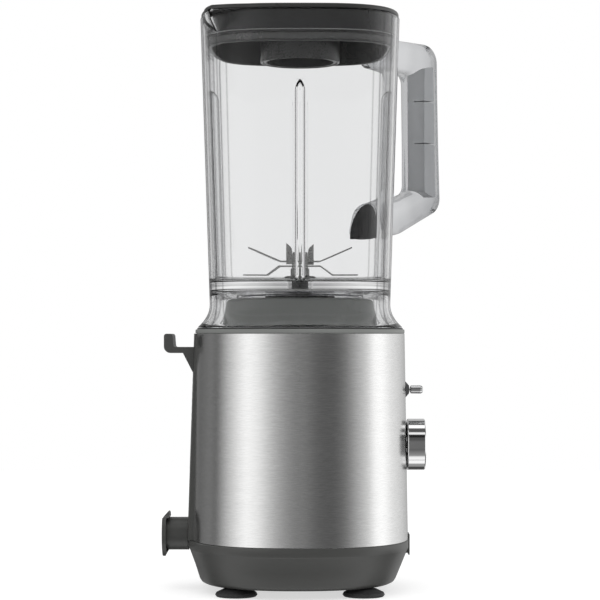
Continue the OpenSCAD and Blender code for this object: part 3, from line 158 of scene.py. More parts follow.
def painted(levels, turn):
    """Brightness at a turn of 0 to 1 round the room, from (degrees, brightness) pairs."""
    stops = [(degrees / 360 + 0.5, level / brightest) for degrees, level in levels]
    return room.node("ShaderNodeValToRGB", {"stops": stops}, {"Fac": turn}) * brightest


def between(low, high, share):
    """Goes over from low to high as share goes from 0 to 1."""
    return low * (1 - share) + high * share


# Round the wall, in degrees from the front towards the controls
wall = painted([
    (-180, 0.30), (-138, 0.14), (-107, 0.22), (-94, 0.12), (-83, 0.36), (-63, 0.85), (-45, 1.35),
    (-30, 1.10), (-17, 0.60), (-5, 0.30), (8, 0.11), (24, 0.10), (36, 0.20), (50, 0.50), (66, 0.80),
    (78, 1.35), (92, 1.40), (112, 1.0), (130, 0.85), (180, 0.30),
], room.math("ARCTAN2", across, near) / math.tau + 0.5)
# Up the front, over the roof and back along the floor, in degrees from level at the front
arch = painted([
    (-180, 0.25), (-152, 0.7), (-146, 0.08), (-122, 0.06), (-112, 0.35), (-96, 0.40), (-90, 1.2),
    (-74, 1.2), (-72, 0.3), (-69, 1.2), (-56, 1.1), (-48, 0.35), (-20, 0.14), (0, 0.12), (32, 0.10),
    (36, 0.02), (46, 0.02), (50, 1.1), (57, 1.1), (61, 0.10), (78, 0.12), (84, 1.4), (98, 1.4),
    (103, 0.08), (126, 0.16), (130, 0.06), (148, 0.8), (156, 0.8), (160, 0.04), (180, 0.04),
], room.math("ARCTAN2", up, near) / math.tau + 0.5)
bands = between(wall, arch, abs(up).ramp(0.22, 0.42))

# Polished parts see the bands, matt parts a plain level, and the camera white. Through clear
# plastic the back of the room is white, with faint bands round it. What a matt part gets through
# it is stronger, so that the parts inside the jug aren't dull.
matt_level, bounced_level, white = 0.80, 1.35, 1
bounced = room.node("ShaderNodeLightPath", output="Diffuse Depth").ramp(0, 1, False)
through = between(bands * 0.2 + 0.6, white, away.ramp(0.75, 0.93))
through = between(through, bounced_level, bounced)
strength = between(matt_level, bands, room.ray("Glossy"))
strength = between(strength, through, room.ray("Transmission"))
strength = between(strength, white, room.ray("Camera"))
background = room.nodes["Background"]
background.inputs["Color"].default_value = (1, 1, 1, 1)
room.feed(background.inputs["Strength"], strength)


def softbox(name, place, aim, width, height, power):
    """Lamp in metres and watts. It lights the parts, and isn't itself mirrored or seen in them."""
    lamp = bpy.data.lights.new(name, "AREA")
    lamp.shape, lamp.size, lamp.size_y, lamp.energy = "RECTANGLE", width, height, power
    hung = bpy.data.objects.new(name, lamp)
    hung.location = place
    hung.rotation_euler = (Vector(aim) - Vector(place)).to_track_quat("-Z", "Y").to_euler()
    scene.collection.objects.link(hung)
    hung.visible_glossy = False
    hung.visible_transmission = False


softbox("overhead_softbox", (-0.25, -0.45, 1.5), (0, 0, 0.15), 1.1, 1.1, 4.5)
softbox("side_softbox", (1.5, -0.35, 0.55), (0, 0, 0.2), 0.7, 1.2, 4.0)

# ---- Counter ----
# The worktop that the blender stands on: a plain pale disc, matt all over, just under the feet.
# It goes over into the white of the room and keeps the blender's shadow.
counter_radius, counter_level, circle_points = 1400, -0.3, 96


def mesh_piece(name, points, faces, smooth=35):
    """Object from points in millimetres. Edges sharper than smooth degrees stay crisp."""
    mesh = bpy.data.meshes.new(name)
    mesh.from_pydata([[c * MM for c in p] for p in points], [], faces)
    mesh.validate()
    tidy = bmesh.new()
    tidy.from_mesh(mesh)
    bmesh.ops.recalc_face_normals(tidy, faces=tidy.faces)
    tidy.to_mesh(mesh)
    tidy.free()
    mesh.polygons.foreach_set("use_smooth", [True] * len(mesh.polygons))
    mesh.set_sharp_from_angle(angle=math.radians(smooth))
    piece = bpy.data.objects.new(name, mesh)
    scene.collection.objects.link(piece)
    return piece


def circle(radius, z):
    turns = [math.tau * i / circle_points for i in range(circle_points)]
    return [(radius * math.cos(t), radius * math.sin(t), z) for t in turns]


def finish_of(name, constants):
    """New material, its node tree and its shader, whose sockets have the given constant values."""
    made = bpy.data.materials.new(name)
    tree = Tree(made)
    shader = tree.nodes["Principled BSDF"]
    for socket, value in constants.items():
        shader.inputs[socket].default_value = value
    return made, tree, shader


counter = mesh_piece("counter", circle(counter_radius, counter_level), [list(range(circle_points))])
counter_finish, tree, shader = finish_of("pale_counter", {
    "Roughness": 0.9, "Specular IOR Level": 0.0, "Base Color": (0.55, 0.55, 0.55, 1),
    "Emission Color": (1, 1, 1, 1)})
seen_plainly, seen_through = 0.62, 0.22
tree.feed(shader.inputs["Emission Strength"],
          tree.ray("Camera") * seen_plainly + tree.ray("Transmission") * seen_through)
counter.visible_glossy = False
counter.data.materials.append(counter_finish)

# ---- Steel sleeve ----
# Thin stainless sheet rolled round the base and polished, with fine level brushing. It is open at
# the back, where its two edges tuck behind the moulded panel, and two holes pass the controls.
sleeve_low, sleeve_high, sleeve_half, sleeve_lean = 39.0, 196.0, 82.8, 2.6
sheet, hem, base_square, panel_half = 0.8, 0.3, 2.4, 24.1
knob_z, knob_hole, lever_z, lever_hole = 110.6, 5.0, 152.9, 4.5
drill_from, drill_to, hole_points, sleeve_points = 70, 90, 64, 320


def reach(turn, half, square):
    """Point of a rounded square outline at a bearing in radians."""
    c, s = math.cos(turn), math.sin(turn)
    r = (abs(c / half) ** square + abs(s / half) ** square) ** (-1 / square)
    return r * c, r * s


def sleeve_at(z):
    """Half width of the sleeve, which leans in towards its top."""
    return sleeve_half - sleeve_lean * (z - sleeve_low) / (sleeve_high - sleeve_low)


def strip_faces(count, rings, closed_around, closed_along):
    """Quads between neighbouring rings of points."""
    faces = []
    for k in range(rings if closed_along else rings - 1):
        for i in range(count if closed_around else count - 1):
            a, b = k * count, (k + 1) % rings * count
            j = (i + 1) % count
            faces.append([a + i, a + j, b + j, b + i])
    return faces


def capped(name, rings):
    """Closed skin through rings of points, with a flat face on its first and its last ring."""
    count, total = len(rings[0]), len(rings) * len(rings[0])
    ends = [list(range(count)), list(range(total - 1, total - 1 - count, -1))]
    faces = strip_faces(count, len(rings), True, False) + ends
    return mesh_piece(name, [p for ring in rings for p in ring], faces)


def cut_away(piece, cutter):
    """Removes the cutter's space from a piece."""
    step = piece.modifiers.new("cut", "BOOLEAN")
    step.operation, step.object, step.solver = "DIFFERENCE", cutter, "EXACT"
    bpy.context.view_layer.update()
    depsgraph = bpy.context.evaluated_depsgraph_get()
    result = bpy.data.meshes.new_from_object(piece.evaluated_get(depsgraph))
    piece.modifiers.remove(step)
    piece.data = result
    bpy.data.objects.remove(cutter)


def place_on(tree, scale=(1, 1, 1)):
    """Position on the piece, stretched by a scale for each axis."""
    position = tree.node("ShaderNodeTexCoord", output="Object")
    return tree.node("ShaderNodeVectorMath", {"operation": "MULTIPLY"}, {0: position, 1: scale})


def speckle(tree, scale, detail, roughness=0.6):
    """Noise from 0 to 1 on the piece."""
    return tree.node("ShaderNodeTexNoise", inputs={
        "Vector": place_on(tree, scale), "Scale": 1.0, "Detail": detail, "Roughness": roughness})


def shade(tree, amount, dark, light):
    """Colour between two colours. The Mix node's sockets for colours go by number."""
    from_socket, to_socket, mixed_socket = 6, 7, 2
    colours = {"Factor": amount, from_socket: (*dark, 1), to_socket: (*light, 1)}
    return tree.node("ShaderNodeMix", {"data_type": "RGBA"}, colours, output=mixed_socket)


def bump(tree, shader, height, strength):
    """Surface relief, 0.2 mm deep at full strength."""
    relief = {"Height": height, "Strength": strength, "Distance": 0.2 * MM}
    tree.feed(shader.inputs["Normal"], tree.node("ShaderNodeBump", inputs=relief))


def brushed_steel(name, grain, dark, light, rough, relief=0.12):
    """Metal with brushing whose lines run square to the closest packed axis of grain."""
    made, tree, shader = finish_of(name, {"Metallic": 1.0})
    lines = speckle(tree, grain, 4.0, 0.7)
    wide = speckle(tree, tuple(g * 0.12 for g in grain), 2.0)
    tone = (lines * 0.85 + wide * 0.15).ramp(0.25, 0.75)
    tree.feed(shader.inputs["Base Color"], shade(tree, tone, dark, light))
    tree.feed(shader.inputs["Roughness"], lines * 0.12 + rough)
    bump(tree, shader, lines, relief)
    return made


back_reach = sleeve_half * (1 - (panel_half / sleeve_half) ** base_square) ** (1 / base_square)
opening = math.atan2(panel_half, -back_reach)
turns = [opening - 2 * opening * i / sleeve_points for i in range(sleeve_points + 1)]
levels = [sleeve_low + (sleeve_high - sleeve_low) * k / 10 for k in range(1, 10)]
levels = [sleeve_low + hem, *levels, sleeve_high - hem]
tucks = [(sleeve_low, hem), *((z, 0.0) for z in levels), (sleeve_high, hem)]
tucks += [(z, sheet) for z, _ in reversed(tucks)]
loops = [[(*reach(t, sleeve_at(z) - tuck, base_square), z) for t in turns] for z, tuck in tucks]
count, number = len(turns), len(loops)
edges = [[k * count + end for k in range(number)] for end in (0, count - 1)]
sleeve = mesh_piece("steel_sleeve", [p for loop in loops for p in loop],
                    strip_faces(count, number, False, True) + edges)
for name, z, radius in (("knob_hole", knob_z, knob_hole), ("lever_hole", lever_z, lever_hole)):
    turns = [math.tau * i / hole_points for i in range(hole_points)]
    cut_away(sleeve, capped(name, [
        [(x, radius * math.cos(t), z + radius * math.sin(t)) for t in turns]
        for x in (drill_from, drill_to)]))
sleeve.data.materials.append(brushed_steel(
    "brushed_sleeve_steel", (170, 170, 1500), (0.68, 0.68, 0.675), (0.79, 0.79, 0.785), 0.17, 0.05))
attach(sleeve, "root")
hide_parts("steel_shell")

# ---- Grey mouldings of the base ----
# Top deck, tray and back panel, with a hook and a post for the cord, are moulded in grey plastic
# with a fine spark-eroded grain. The deck carries the pedestal that the jug stands over, and the
# tray closes the base, with a tab up the sleeve's side under the controls.
outline_points = 256
deck_low, deck_top, pedestal_top, pedestal_square = 188.0, 199.2, 223.0, 3.0
coupling_wells, well_top = ((24.0, 205.0), (9.0, 180.0)), 230.0
tray_foot, tray_rim, tray_taper = 9.7, 31.4, 0.0168
tab_half, tab_edge = 9, 0.3


def moulded(name, dark, light, rough, relief=0.08, gloss=0.5):
    """Satin moulded plastic: slight mottling, and a fine grain in the surface."""
    made, tree, shader = finish_of(name, {"Specular IOR Level": gloss})
    grain, mottle = 900, 22
    fine = speckle(tree, (grain, grain, grain), 2.0)
    broad = speckle(tree, (mottle, mottle, mottle), 3.0)
    tree.feed(shader.inputs["Base Color"], shade(tree, broad * 0.6 + fine * 0.4, dark, light))
    tree.feed(shader.inputs["Roughness"], broad * 0.1 + fine * 0.06 + (rough - 0.08))
    if relief:
        bump(tree, shader, fine, relief)
    return made


def dress(finish, *names):
    """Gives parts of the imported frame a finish."""
    for name in names:
        nodes[name].data.materials.clear()
        nodes[name].data.materials.append(finish)


def rounded_square(half, square):
    return [reach(math.tau * i / outline_points, half, square) for i in range(outline_points)]


def loft(name, profile):
    """Skin through rounded squares given as (height, half width, squareness, shift in x)."""
    rings = []
    for z, half, square, shift in profile:
        rings.append([(x + shift, y, z) for x, y in rounded_square(half, square)])
    return capped(name, rings)


def share_of(value, start, end):
    """How far a value is on its way from start to end, from 0 to 1."""
    return min(max((value - start) / (end - start), 0), 1)


def inset(place, middle, by):
    """Place moved towards the middle, at most onto it."""
    return place - math.copysign(min(by, abs(place - middle)), place - middle)


base_grey = moulded("base_grey_plastic", (0.070, 0.071, 0.068), (0.086, 0.087, 0.083), 0.36)
deck_grey = moulded("deck_grey_plastic", (0.205, 0.213, 0.205), (0.240, 0.248, 0.239), 0.36)

rim_half = sleeve_at(sleeve_high)
deck_rim = [(deck_low, 1.0), (196.1, 1.0), (196.1, 0.3), (196.4, 0), (198.3, 0), (198.9, 0.3),
            (deck_top, 0.9)]
pedestal = [(deck_top, 62.5), (199.7, 60.6), (201.0, 59.8), (220.6, 57.1), (222.2, 56.3),
            (222.9, 55.2), (pedestal_top, 54.4)]
deck = loft("top_deck_moulding", [(z, rim_half - tuck, base_square, 0) for z, tuck in deck_rim]
            + [(z, half, pedestal_square, 0) for z, half in pedestal])
for radius, low in coupling_wells:
    cut_away(deck, capped("coupling_well", [circle(radius, low), circle(radius, well_top)]))
deck.data.materials.append(deck_grey)
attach(deck, "root")
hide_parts("top_deck")

tray_profile = [(6.2, 69.2, -1.7), (6.7, 72.0, -1.7), (7.7, 73.9, -1.7), (9.7, 75.2, -1.7),
                (20.0, 79.0, -1.2), (31.4, 83.4, -1.0), (32.0, 83.7, -1.0), (32.6, 84.1, -1.0),
                (38.4, 84.2, -1.0), (38.9, 83.8, -1.0), (38.9, 81.5, 0), (43.9, 81.5, 0)]
tray = loft("base_tray", [(z, half, base_square, shift) for z, half, shift in tray_profile])
# Its sides slope out less than its front and back, and end flush with the sleeve
for corner in tray.data.vertices:
    corner.co.y *= 1 - tray_taper * share_of(corner.co.z, tray_foot * MM, tray_rim * MM)

tab_outline = [(80, 28.0), (82.9, 28.0), (82.9, 26.8), (83.2, 26.5), (83.7, 26.5), (84.0, 26.8),
               (84.0, 42.1), (83.7, 42.5), (83.2, 42.5), (82.9, 42.2), (82.9, 38.0), (80, 38.0)]
mid_x, mid_z = (sum(p[axis] for p in tab_outline) / len(tab_outline) for axis in (0, 1))
tab = capped("tray_tab", [
    [(inset(x, mid_x, by), y, inset(z, mid_z, by)) for x, z in tab_outline]
    for y, by in ((-tab_half, tab_edge), (-tab_half + tab_edge, 0), (tab_half - tab_edge, 0),
                  (tab_half, tab_edge))])
for piece in (tray, tab):
    piece.data.materials.append(base_grey)
    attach(piece, "root")
    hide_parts("chassis")
dress(base_grey, "back_panel", "cord_hook", "cord_post", "post_plate")


# ---- Seat ring, feet and other rubber ----
# Soft black rubber, moulded and pushed into its seats: the ring under the jug's foot, the suction
# feet, the motor's mounts and the lever's boot. The motor's half of the coupling is harder.
def rubber(name, dark, light, rough):
    """Matt rubber with a film of dust."""
    made, tree, shader = finish_of(name, {"Specular IOR Level": 0.35})
    dust = speckle(tree, (35, 35, 60), 4.0)
    tree.feed(shader.inputs["Base Color"], shade(tree, dust.ramp(0.35, 0.75), dark, light))
    tree.feed(shader.inputs["Roughness"], dust * 0.15 + (rough - 0.08))
    bump(tree, shader, speckle(tree, (700, 700, 700), 2.0), 0.1)
    return made


foot_rubber = rubber("foot_rubber", (0.035, 0.035, 0.037), (0.06, 0.06, 0.062), 0.6)
coupling_rubber = rubber("coupling_rubber", (0.02, 0.02, 0.02), (0.035, 0.035, 0.035), 0.5)
dress(foot_rubber, "seat_ring", "suction_feet", "motor_mounts", "toggle_boot")
dress(coupling_rubber, "drive_coupling")

# ---- Controls ----
# The speed knob and the pulse lever are solid zinc, turned and chrome plated. Each one sits on the
# spindle or the stem of its switch, through its hole in the sleeve.
chrome, tree, shader = finish_of("control_chrome", {"Metallic": 1.0})
film = speckle(tree, (60, 60, 60), 3.0)
tree.feed(shader.inputs["Base Color"], shade(tree, film, (0.74, 0.74, 0.745), (0.80, 0.80, 0.80)))
tree.feed(shader.inputs["Roughness"], film * 0.03 + 0.05)
dress(chrome, "knob", "toggle_lever")

# ---- Inside the base ----
# The motor, its brackets, the switches and the board: turned steel, cast aluminium, laminated iron,
# copper wire, brass and dark mouldings. They are screwed to each other and to the tray's posts.
turned_steel = brushed_steel("turned_steel", (300, 300, 900), (0.40, 0.40, 0.40),
                             (0.62, 0.62, 0.61), 0.28)
cast = brushed_steel("cast_aluminium", (250, 250, 250), (0.38, 0.38, 0.38), (0.52, 0.52, 0.52),
                     0.45)
iron = brushed_steel("laminated_iron", (8, 8, 2200), (0.10, 0.10, 0.105), (0.22, 0.22, 0.22), 0.5)
copper = brushed_steel("enamelled_copper", (60, 60, 1500), (0.35, 0.13, 0.06), (0.60, 0.27, 0.12),
                       0.35)
brass = brushed_steel("bright_brass", (300, 300, 300), (0.55, 0.40, 0.18), (0.70, 0.53, 0.26), 0.3)
dark_moulding = moulded("dark_moulding", (0.022, 0.022, 0.024), (0.035, 0.035, 0.038), 0.45)
lacquer = moulded("board_lacquer", (0.012, 0.07, 0.025), (0.02, 0.11, 0.04), 0.25)
dress(turned_steel, "motor_shaft", "upper_bearing", "lower_bearing", "knob_spindle", "switch_nuts",
      "base_screws", "board_screws", "mount_screws", "bracket_bolts", "brush_springs")
dress(cast, "upper_bracket", "lower_bracket")
dress(iron, "stator_core", "armature_core")
dress(copper, "field_coils", "armature_windings")
dress(brass, "commutator", "brush_holders")
dress(dark_moulding, "cord_gland", "control_bracket", "speed_switch", "toggle_switch",
      "air_shroud", "cooling_fan", "carbon_brushes")
dress(lacquer, "control_board")

# ---- Jug ----
# One clear injection moulding: flared skirt, tapering square walls with a bullet-ended rib inside
# each, a pouring lip drawn out of one corner, and a ring under the floor that the blade unit
# screws up against. It stands on the seat ring, over the pedestal.
foot_z, skirt_top, floor_low, floor_top, rim_z = 200.5, 218.7, 229.0, 233.5, 434.8
half_low, half_top, skirt_half, wall_t, jug_square = 69.0, 76.0, 78.8, 3.0, 3.2
rib_half, rib_depth, rib_top, rib_root = 3.5, 7.0, 382.5, 0.6
spout_turn, spout_out, spout_drop = math.radians(225), 9.0, 20.0
spout_narrow, spout_wide, spout_point = 3, 17, 1.15
foot_edge, foot_tuck, rim_edge, neck, corner_points = 0.7, 0.6, 0.6, 9.5, 48


def jug_half(z):
    """Half width of the walls, which widen towards the rim."""
    return half_low + (half_top - half_low) * (z - skirt_top) / (rim_z - skirt_top)


def skirt(z):
    """Half width and squareness of the flared skirt."""
    t = share_of(z, foot_z, skirt_top)
    half = half_low + (skirt_half - half_low) * (1 - t) ** 2.2
    return half, base_square + (jug_square - base_square) * t ** 0.7


def eased(share):
    """Share from 0 to 1 with a soft start and a soft end."""
    return share * share * (3 - 2 * share)


def pour_at(z):
    """How far the lip is drawn out at a height, from 0 to 1."""
    return eased(share_of(z, rim_z - spout_drop, rim_z))


def drawn_out(x, y, out, spread):
    """Point moved out with the lip: fully at its middle, and not at all spread degrees aside."""
    aside = abs(math.remainder(math.atan2(y, x) - spout_turn, math.tau))
    lip = out * max(0.0, 1 - aside / math.radians(spread)) ** spout_point
    return x + lip * math.cos(spout_turn), y + lip * math.sin(spout_turn)


def rib_section(width, depth):
    """Sideways place and depth of the points across one rib, whose nose is round."""
    nose = min(width, depth)
    turns = [math.pi * k / 8 for k in range(9)]
    tip = [(-width * math.cos(t), depth - nose + nose * math.sin(t)) for t in turns]
    root = min(rib_root, depth) * 0.4
    return [(-width - rib_root, 0.0), (-width, root), *tip, (width, root), (width + rib_root, 0.0)]


def jug_ring(z, half, square=jug_square, width=rib_half, depth=0.0, pour=0.0):
    """Ring of the jug's skin. Each side has a rib in its middle, and pour draws the lip out."""
    flat = math.atan2(rib_half + rib_root, half)
    side = [(half * (1 - abs(lateral / half) ** square) ** (1 / square) - deep, lateral)
            for lateral, deep in rib_section(width, depth)]
    side += [reach(flat + (math.pi / 2 - 2 * flat) * k / corner_points, half, square)
             for k in range(1, corner_points)]
    spread = spout_narrow + (spout_wide - spout_narrow) * pour
    ring = []
    for quarter in range(4):
        c, s = math.cos(math.pi / 2 * quarter), math.sin(math.pi / 2 * quarter)
        ring += [(*drawn_out(x * c - y * s, x * s + y * c, spout_out * pour, spread), z)
                 for x, y in side]
    return ring


def inside(z, tuck=0.0, **shape):
    """Ring of the jug's inside."""
    return jug_ring(z, jug_half(z) - wall_t - tuck, **shape)


def rounded_in(ring, radius, share, z):
    """Ring that goes over from an outline to a circle of that radius."""
    made = []
    for x, y, _ in ring:
        t = math.atan2(y, x)
        made.append((x + (radius * math.cos(t) - x) * share,
                     y + (radius * math.sin(t) - y) * share, z))
    return made


def hooped(name, rings, smooth):
    """Skin through rings of points that closes on itself both ways, as a tyre does."""
    faces = strip_faces(len(rings[0]), len(rings), True, True)
    return mesh_piece(name, [p for ring in rings for p in ring], faces, smooth)


skirt_levels = [foot_z + foot_edge + (skirt_top - foot_z - foot_edge) * k / 12 for k in range(13)]
lip_levels = [rim_z - spout_drop + k * 2 for k in range(1, 10)]
wall_levels = [*range(226, 414, 12), *lip_levels, rim_z - rim_edge]
outer = [jug_ring(foot_z, skirt_half - foot_tuck, base_square)]
outer += [jug_ring(z, *skirt(z)) for z in skirt_levels]
outer += [jug_ring(z, jug_half(z), pour=pour_at(z)) for z in wall_levels]
rim_round = [(0.15, 0.3), (0, 0.8)]
rim_round += [(drop, wall_t - tuck) for drop, tuck in reversed(rim_round)]
rim = [jug_ring(rim_z - drop, half_top - tuck, pour=1) for drop, tuck in rim_round]
# The ribs end in a tip, grown over a few rings close to each other
rib_tip = [(0.0, 0.02), (0.25, 0.12), (0.8, 0.3), (1.8, 0.5), (3.2, 0.7), (4.8, 0.86), (6.5, 0.97),
           (8.0, 1.0)]
tip_end, bend_start = rib_top - 9, 238
inner = [inside(z, pour=pour_at(z)) for z in reversed(wall_levels) if z > rib_top + 1]
inner += [inside(rib_top + rise) for rise in (0.9, 0.5, 0.2)]
inner += [inside(rib_top - drop, width=rib_half * share, depth=rib_depth * share ** 0.8)
          for drop, share in rib_tip]
inner += [inside(z, depth=rib_depth) for z in reversed(wall_levels) if bend_start < z < tip_end]
# The walls bend into the floor, which is flat up to the neck of the blade unit
floor_bend = [(237.6, 0.0), (236.8, 0.1), (236.1, 0.4), (235.5, 0.9), (235.1, 1.5), (234.8, 2.3),
              (234.6, 3.4)]
inner += [inside(z, tuck, depth=rib_depth) for z, tuck in floor_bend]
floor_steps = [(0.1, 0.85), (0.25, 0.5), (0.45, 0.15), (0.6, 0.0), (0.85, 0.0), (1.0, 0.0)]
floor = [rounded_in(inner[-1], neck, share, floor_top + rise) for share, rise in floor_steps]
below = jug_ring(floor_low, half_low - wall_t - 3.5)
seat_steps = [(neck, 0), (47.5, 0), (47.8, 3.7), (48.3, 4.0), (49.4, 4.0), (49.9, 3.7), (50.2, 0)]
under = [rounded_in(below, radius, 1.0, floor_low - drop) for radius, drop in seat_steps] + [below]
under += [jug_ring(floor_low - drop, half_low - wall_t - tuck)
          for drop, tuck in ((0.8, 1.5), (2.5, 0.3), (5.0, 0.0))]
for z in reversed(skirt_levels):
    half, square = skirt(z)
    under.append(jug_ring(z, half - wall_t, square))
under.append(jug_ring(foot_z, skirt_half - wall_t + foot_tuck, base_square))
jug = hooped("clear_jug", outer + rim + inner + floor + under, 40)


def clear_plastic(name, face, edge, bend, bands, shade_ways=(), slab_at=None):
    """Clear copolyester: nearly colourless face on, darker in bands as it turns edge on.

    Each way given as (direction, low, high) is painted shade: darker from low to high that way.
    slab_at gives the two heights of a solid floor, darkened by a painted reflection of the dark
    blade unit in the middle of each side.
    """
    made, tree, shader = finish_of(name, {
        "Transmission Weight": 1.0, "IOR": bend, "Roughness": 0.0,
        "Specular Tint": (0.3, 0.3, 0.3, 1)})
    # Painted reflection: the colour darkens in bands as the surface turns edge on.
    facing = tree.node("ShaderNodeLayerWeight", inputs={"Blend": 0.5}, output="Facing")
    turned = tree.node("ShaderNodeValToRGB", {"stops": bands}, {"Fac": facing})
    amount = turned + speckle(tree, (9, 9, 5), 2.0) * 0.02
    # Painted shade along each given way
    for way, low, high in shade_ways:
        along = tree.node("ShaderNodeVectorMath", {"operation": "DOT_PRODUCT"},
                          {0: place_on(tree), 1: way}, output="Value")
        amount = amount + along.ramp(low, high) * 0.4
    # Painted reflection of the dark blade unit in the middle of each side of the floor
    if slab_at:
        low, high = slab_at
        x, y, z = tree.split(place_on(tree))
        upright = z.ramp(low, low + 1 * MM) * (1 - z.ramp(high - 1 * MM, high))
        middle = 1 - tree.math("MINIMUM", abs(x), abs(y)).ramp(12 * MM, 54 * MM)
        amount = amount + upright * middle * 0.6
    tree.feed(shader.inputs["Base Color"], shade(tree, amount, face, edge))
    return made


# Painted reflection bands of the jug's walls, darker as they turn edge on
painted_reflection_bands = [(0, 0), (0.33, 0), (0.365, 0.6), (0.4, 0.05), (0.53, 0.05), (0.58, 0.9), (0.63, 0.15),
              (0.76, 0.2), (0.81, 1), (0.86, 0.5), (0.95, 1)]
# Painted reflections: darker bands edge on, and the dark blade unit in the floor's middle
jug.data.materials.append(clear_plastic(
    "clear_jug_plastic", (0.9, 0.903, 0.905), (0.02, 0.02, 0.025), 1.5, painted_reflection_bands,
    slab_at=((floor_low - 0.5) * MM, (floor_top + 0.5) * MM)))
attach(jug, "jug")
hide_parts("jug")

# ---- Handle ----
# The clear grip is moulded on the corner opposite the lip. Both of its arms run out to a straight,
# rounded grip with a grey insert down its middle, and a dark plug closes the lower arm's root. The
# plug's near-black is painted shade, for the dark arch that the clear plastic shows there.
grip_half, grip_edge, flare_half, root_out, wall_touch = 12.5, 8.0, 19.5, 84, 0.1
flare_from, flare_to = 102, 82


def filleted(points, radii, steps):
    """Open path through points, with each inner corner rounded and every straight cut evenly.

    The steps are those of a straight and of the bend after it, in turn, and of the last straight.
    """
    path = [Vector(points[0])]
    for k, radius in enumerate(radii):
        before, at, after = (Vector(p) for p in points[k:k + 3])
        u, v = (before - at).normalized(), (after - at).normalized()
        half_angle = u.angle(v) / 2
        start, end = (at + side * radius / math.tan(half_angle) for side in (u, v))
        hub = at + (u + v).normalized() * radius / math.sin(half_angle)
        straight, bend = steps[2 * k:2 * k + 2]
        last = path[-1]
        path += [last.lerp(start, i / straight) for i in range(1, straight)]
        path += [hub + (start.lerp(end, i / bend) - hub).normalized() * radius
                 for i in range(bend + 1)]
    last, straight = path[-1], steps[-1]
    return path + [last.lerp(Vector(points[-1]), i / straight) for i in range(1, straight + 1)]


def corner_reach(lateral, z):
    """How far out the jug's corner lies at a sideways offset and a height."""
    half = jug_half(z)
    low, high = 40.0, 110.0
    for _ in range(24):
        mid = (low + high) / 2
        x, y = (mid - lateral) / math.sqrt(2), (mid + lateral) / math.sqrt(2)
        within = (abs(x) / half) ** jug_square + (abs(y) / half) ** jug_square < 1
        low, high = (mid, high) if within else (low, mid)
    return low


def grip_ring(inward, outward, root):
    """Ring of the grip between two points of its side view. Root spreads its lower edge."""
    thick = (outward - inward).length
    ring = []
    for row, ends in ((0, laterals), (1, laterals[::-1])):
        for lateral in ends:
            over = max(abs(lateral) * grip_half - (grip_half - grip_edge), 0)
            dip = (grip_edge - math.sqrt(max(grip_edge ** 2 - over ** 2, 0))) / thick
            share = dip if row == 0 else 1 - dip
            at = inward.lerp(outward, share)
            side = lateral * grip_half * (1 + root * (flare_half / grip_half - 1) * share ** 0.7)
            wall = corner_reach(side, at.y) + wall_touch if at.x < root_out else at.x
            ring.append((max(at.x, wall), side, at.y))
    return ring


laterals = [math.sin(math.pi / 2 * (k / 8 - 1)) for k in range(17)]
path_steps = (8, 12, 24, 12, 10, 8, 10)
outside_path = filleted([(82, 431.8), (149.5, 432.0), (154.0, 297.5), (106.0, 276.0), (80, 271.0)],
                        (14, 13, 30), path_steps)
inside_path = filleted([(82, 408.4), (125, 406.5), (126, 311.5), (105, 304.5), (80, 299.5)],
                       (9, 10, 12), path_steps)
rings = []
for k, (inward, outward) in enumerate(zip(inside_path, outside_path)):
    flare = share_of(outward.x, flare_from, flare_to) if k > len(outside_path) / 2 else 0
    rings.append(grip_ring(inward, outward, eased(flare)))
for end in (0, -1):
    rings[end] = [(corner_reach(side, z) + wall_touch, side, z) for _, side, z in rings[end]]
points = [((u - v) / math.sqrt(2), (u + v) / math.sqrt(2), z) for ring in rings for u, v, z in ring]
count = len(rings[0])
faces = strip_faces(count, len(rings), True, False)
for base in (0, count * (len(rings) - 1)):
    faces += [[base + k, base + k + 1, base + count - 2 - k, base + count - 1 - k]
              for k in range(len(laterals) - 1)]
handle = mesh_piece("clear_handle", points, faces, 50)
# Painted shade darkens it towards the outer side of its upright and the underside of its lower arm
handle.data.materials.append(clear_plastic(
    "clear_grip_plastic", (0.64, 0.645, 0.655), (0.34, 0.345, 0.355), 1.22,
    [(0, 0), (0.75, 0), (0.95, 1)],
    shade_ways=[((0.707, 0.707, 0), 0.124, 0.138), ((0.317, 0.317, -1), -0.248, -0.236)]))
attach(handle, "jug")
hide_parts("jug_handle")
# Painted light: the insert is lighter than its grey plastic, for light the clear grip holds back
dress(moulded("grip_insert", (0.60, 0.61, 0.62), (0.72, 0.73, 0.74), 0.4), "handle_core")
# Painted shade: a near-black piece where the clear plastic shows a dark arch
dress(moulded("arm_root_painted_shade", (0.012, 0.012, 0.013), (0.022, 0.022, 0.024), 0.45, gloss=0.15),
      "arm_plug")

# ---- Blade unit ----
# Stamped stainless blades with ground edges, stacked on a splined spindle over a turned collar.
# The collar goes up through the jug's floor onto its gasket, and a moulded ring nut holds it from
# below. The spindle turns in brass bushes, and the jug's half of the coupling is on its lower end.
blade_steel = brushed_steel("blade_steel", (900, 900, 900), (0.24, 0.24, 0.24), (0.40, 0.40, 0.39),
                            0.22)
dress(blade_steel, "lower_blade", "upright_blade", "upper_blade", "blade_shaft", "blade_nut",
      "blade_housing")
dress(turned_steel, "blade_washers")
dress(brass, "blade_bushes")
dress(dark_moulding, "ring_nut")
dress(foot_rubber, "housing_gasket", "shaft_seal")
dress(coupling_rubber, "jug_coupling")

# ---- Lid ----
# Dark grey satin moulding: a flat rim with a tongue over the lip, a hollow plug that fills the
# jug's mouth, and a round collar that the filler cap of the same plastic drops into.
lid_low, lid_top, plug_low, collar_low = 435.1, 438.4, 411.1, 403.8
plug_half, plug_wall, collar_r, collar_t = 70.04, 2.4, 30.7, 2.0
lid_half, cap_well, cap_sink = 75.3, 33.6, 1.8


def lid_ring(z, half, square=jug_square, tongue=0.0):
    """Rounded square, with its corner drawn out over the lip."""
    return [(*drawn_out(x, y, tongue, spout_wide), z) for x, y in rounded_square(half, square)]


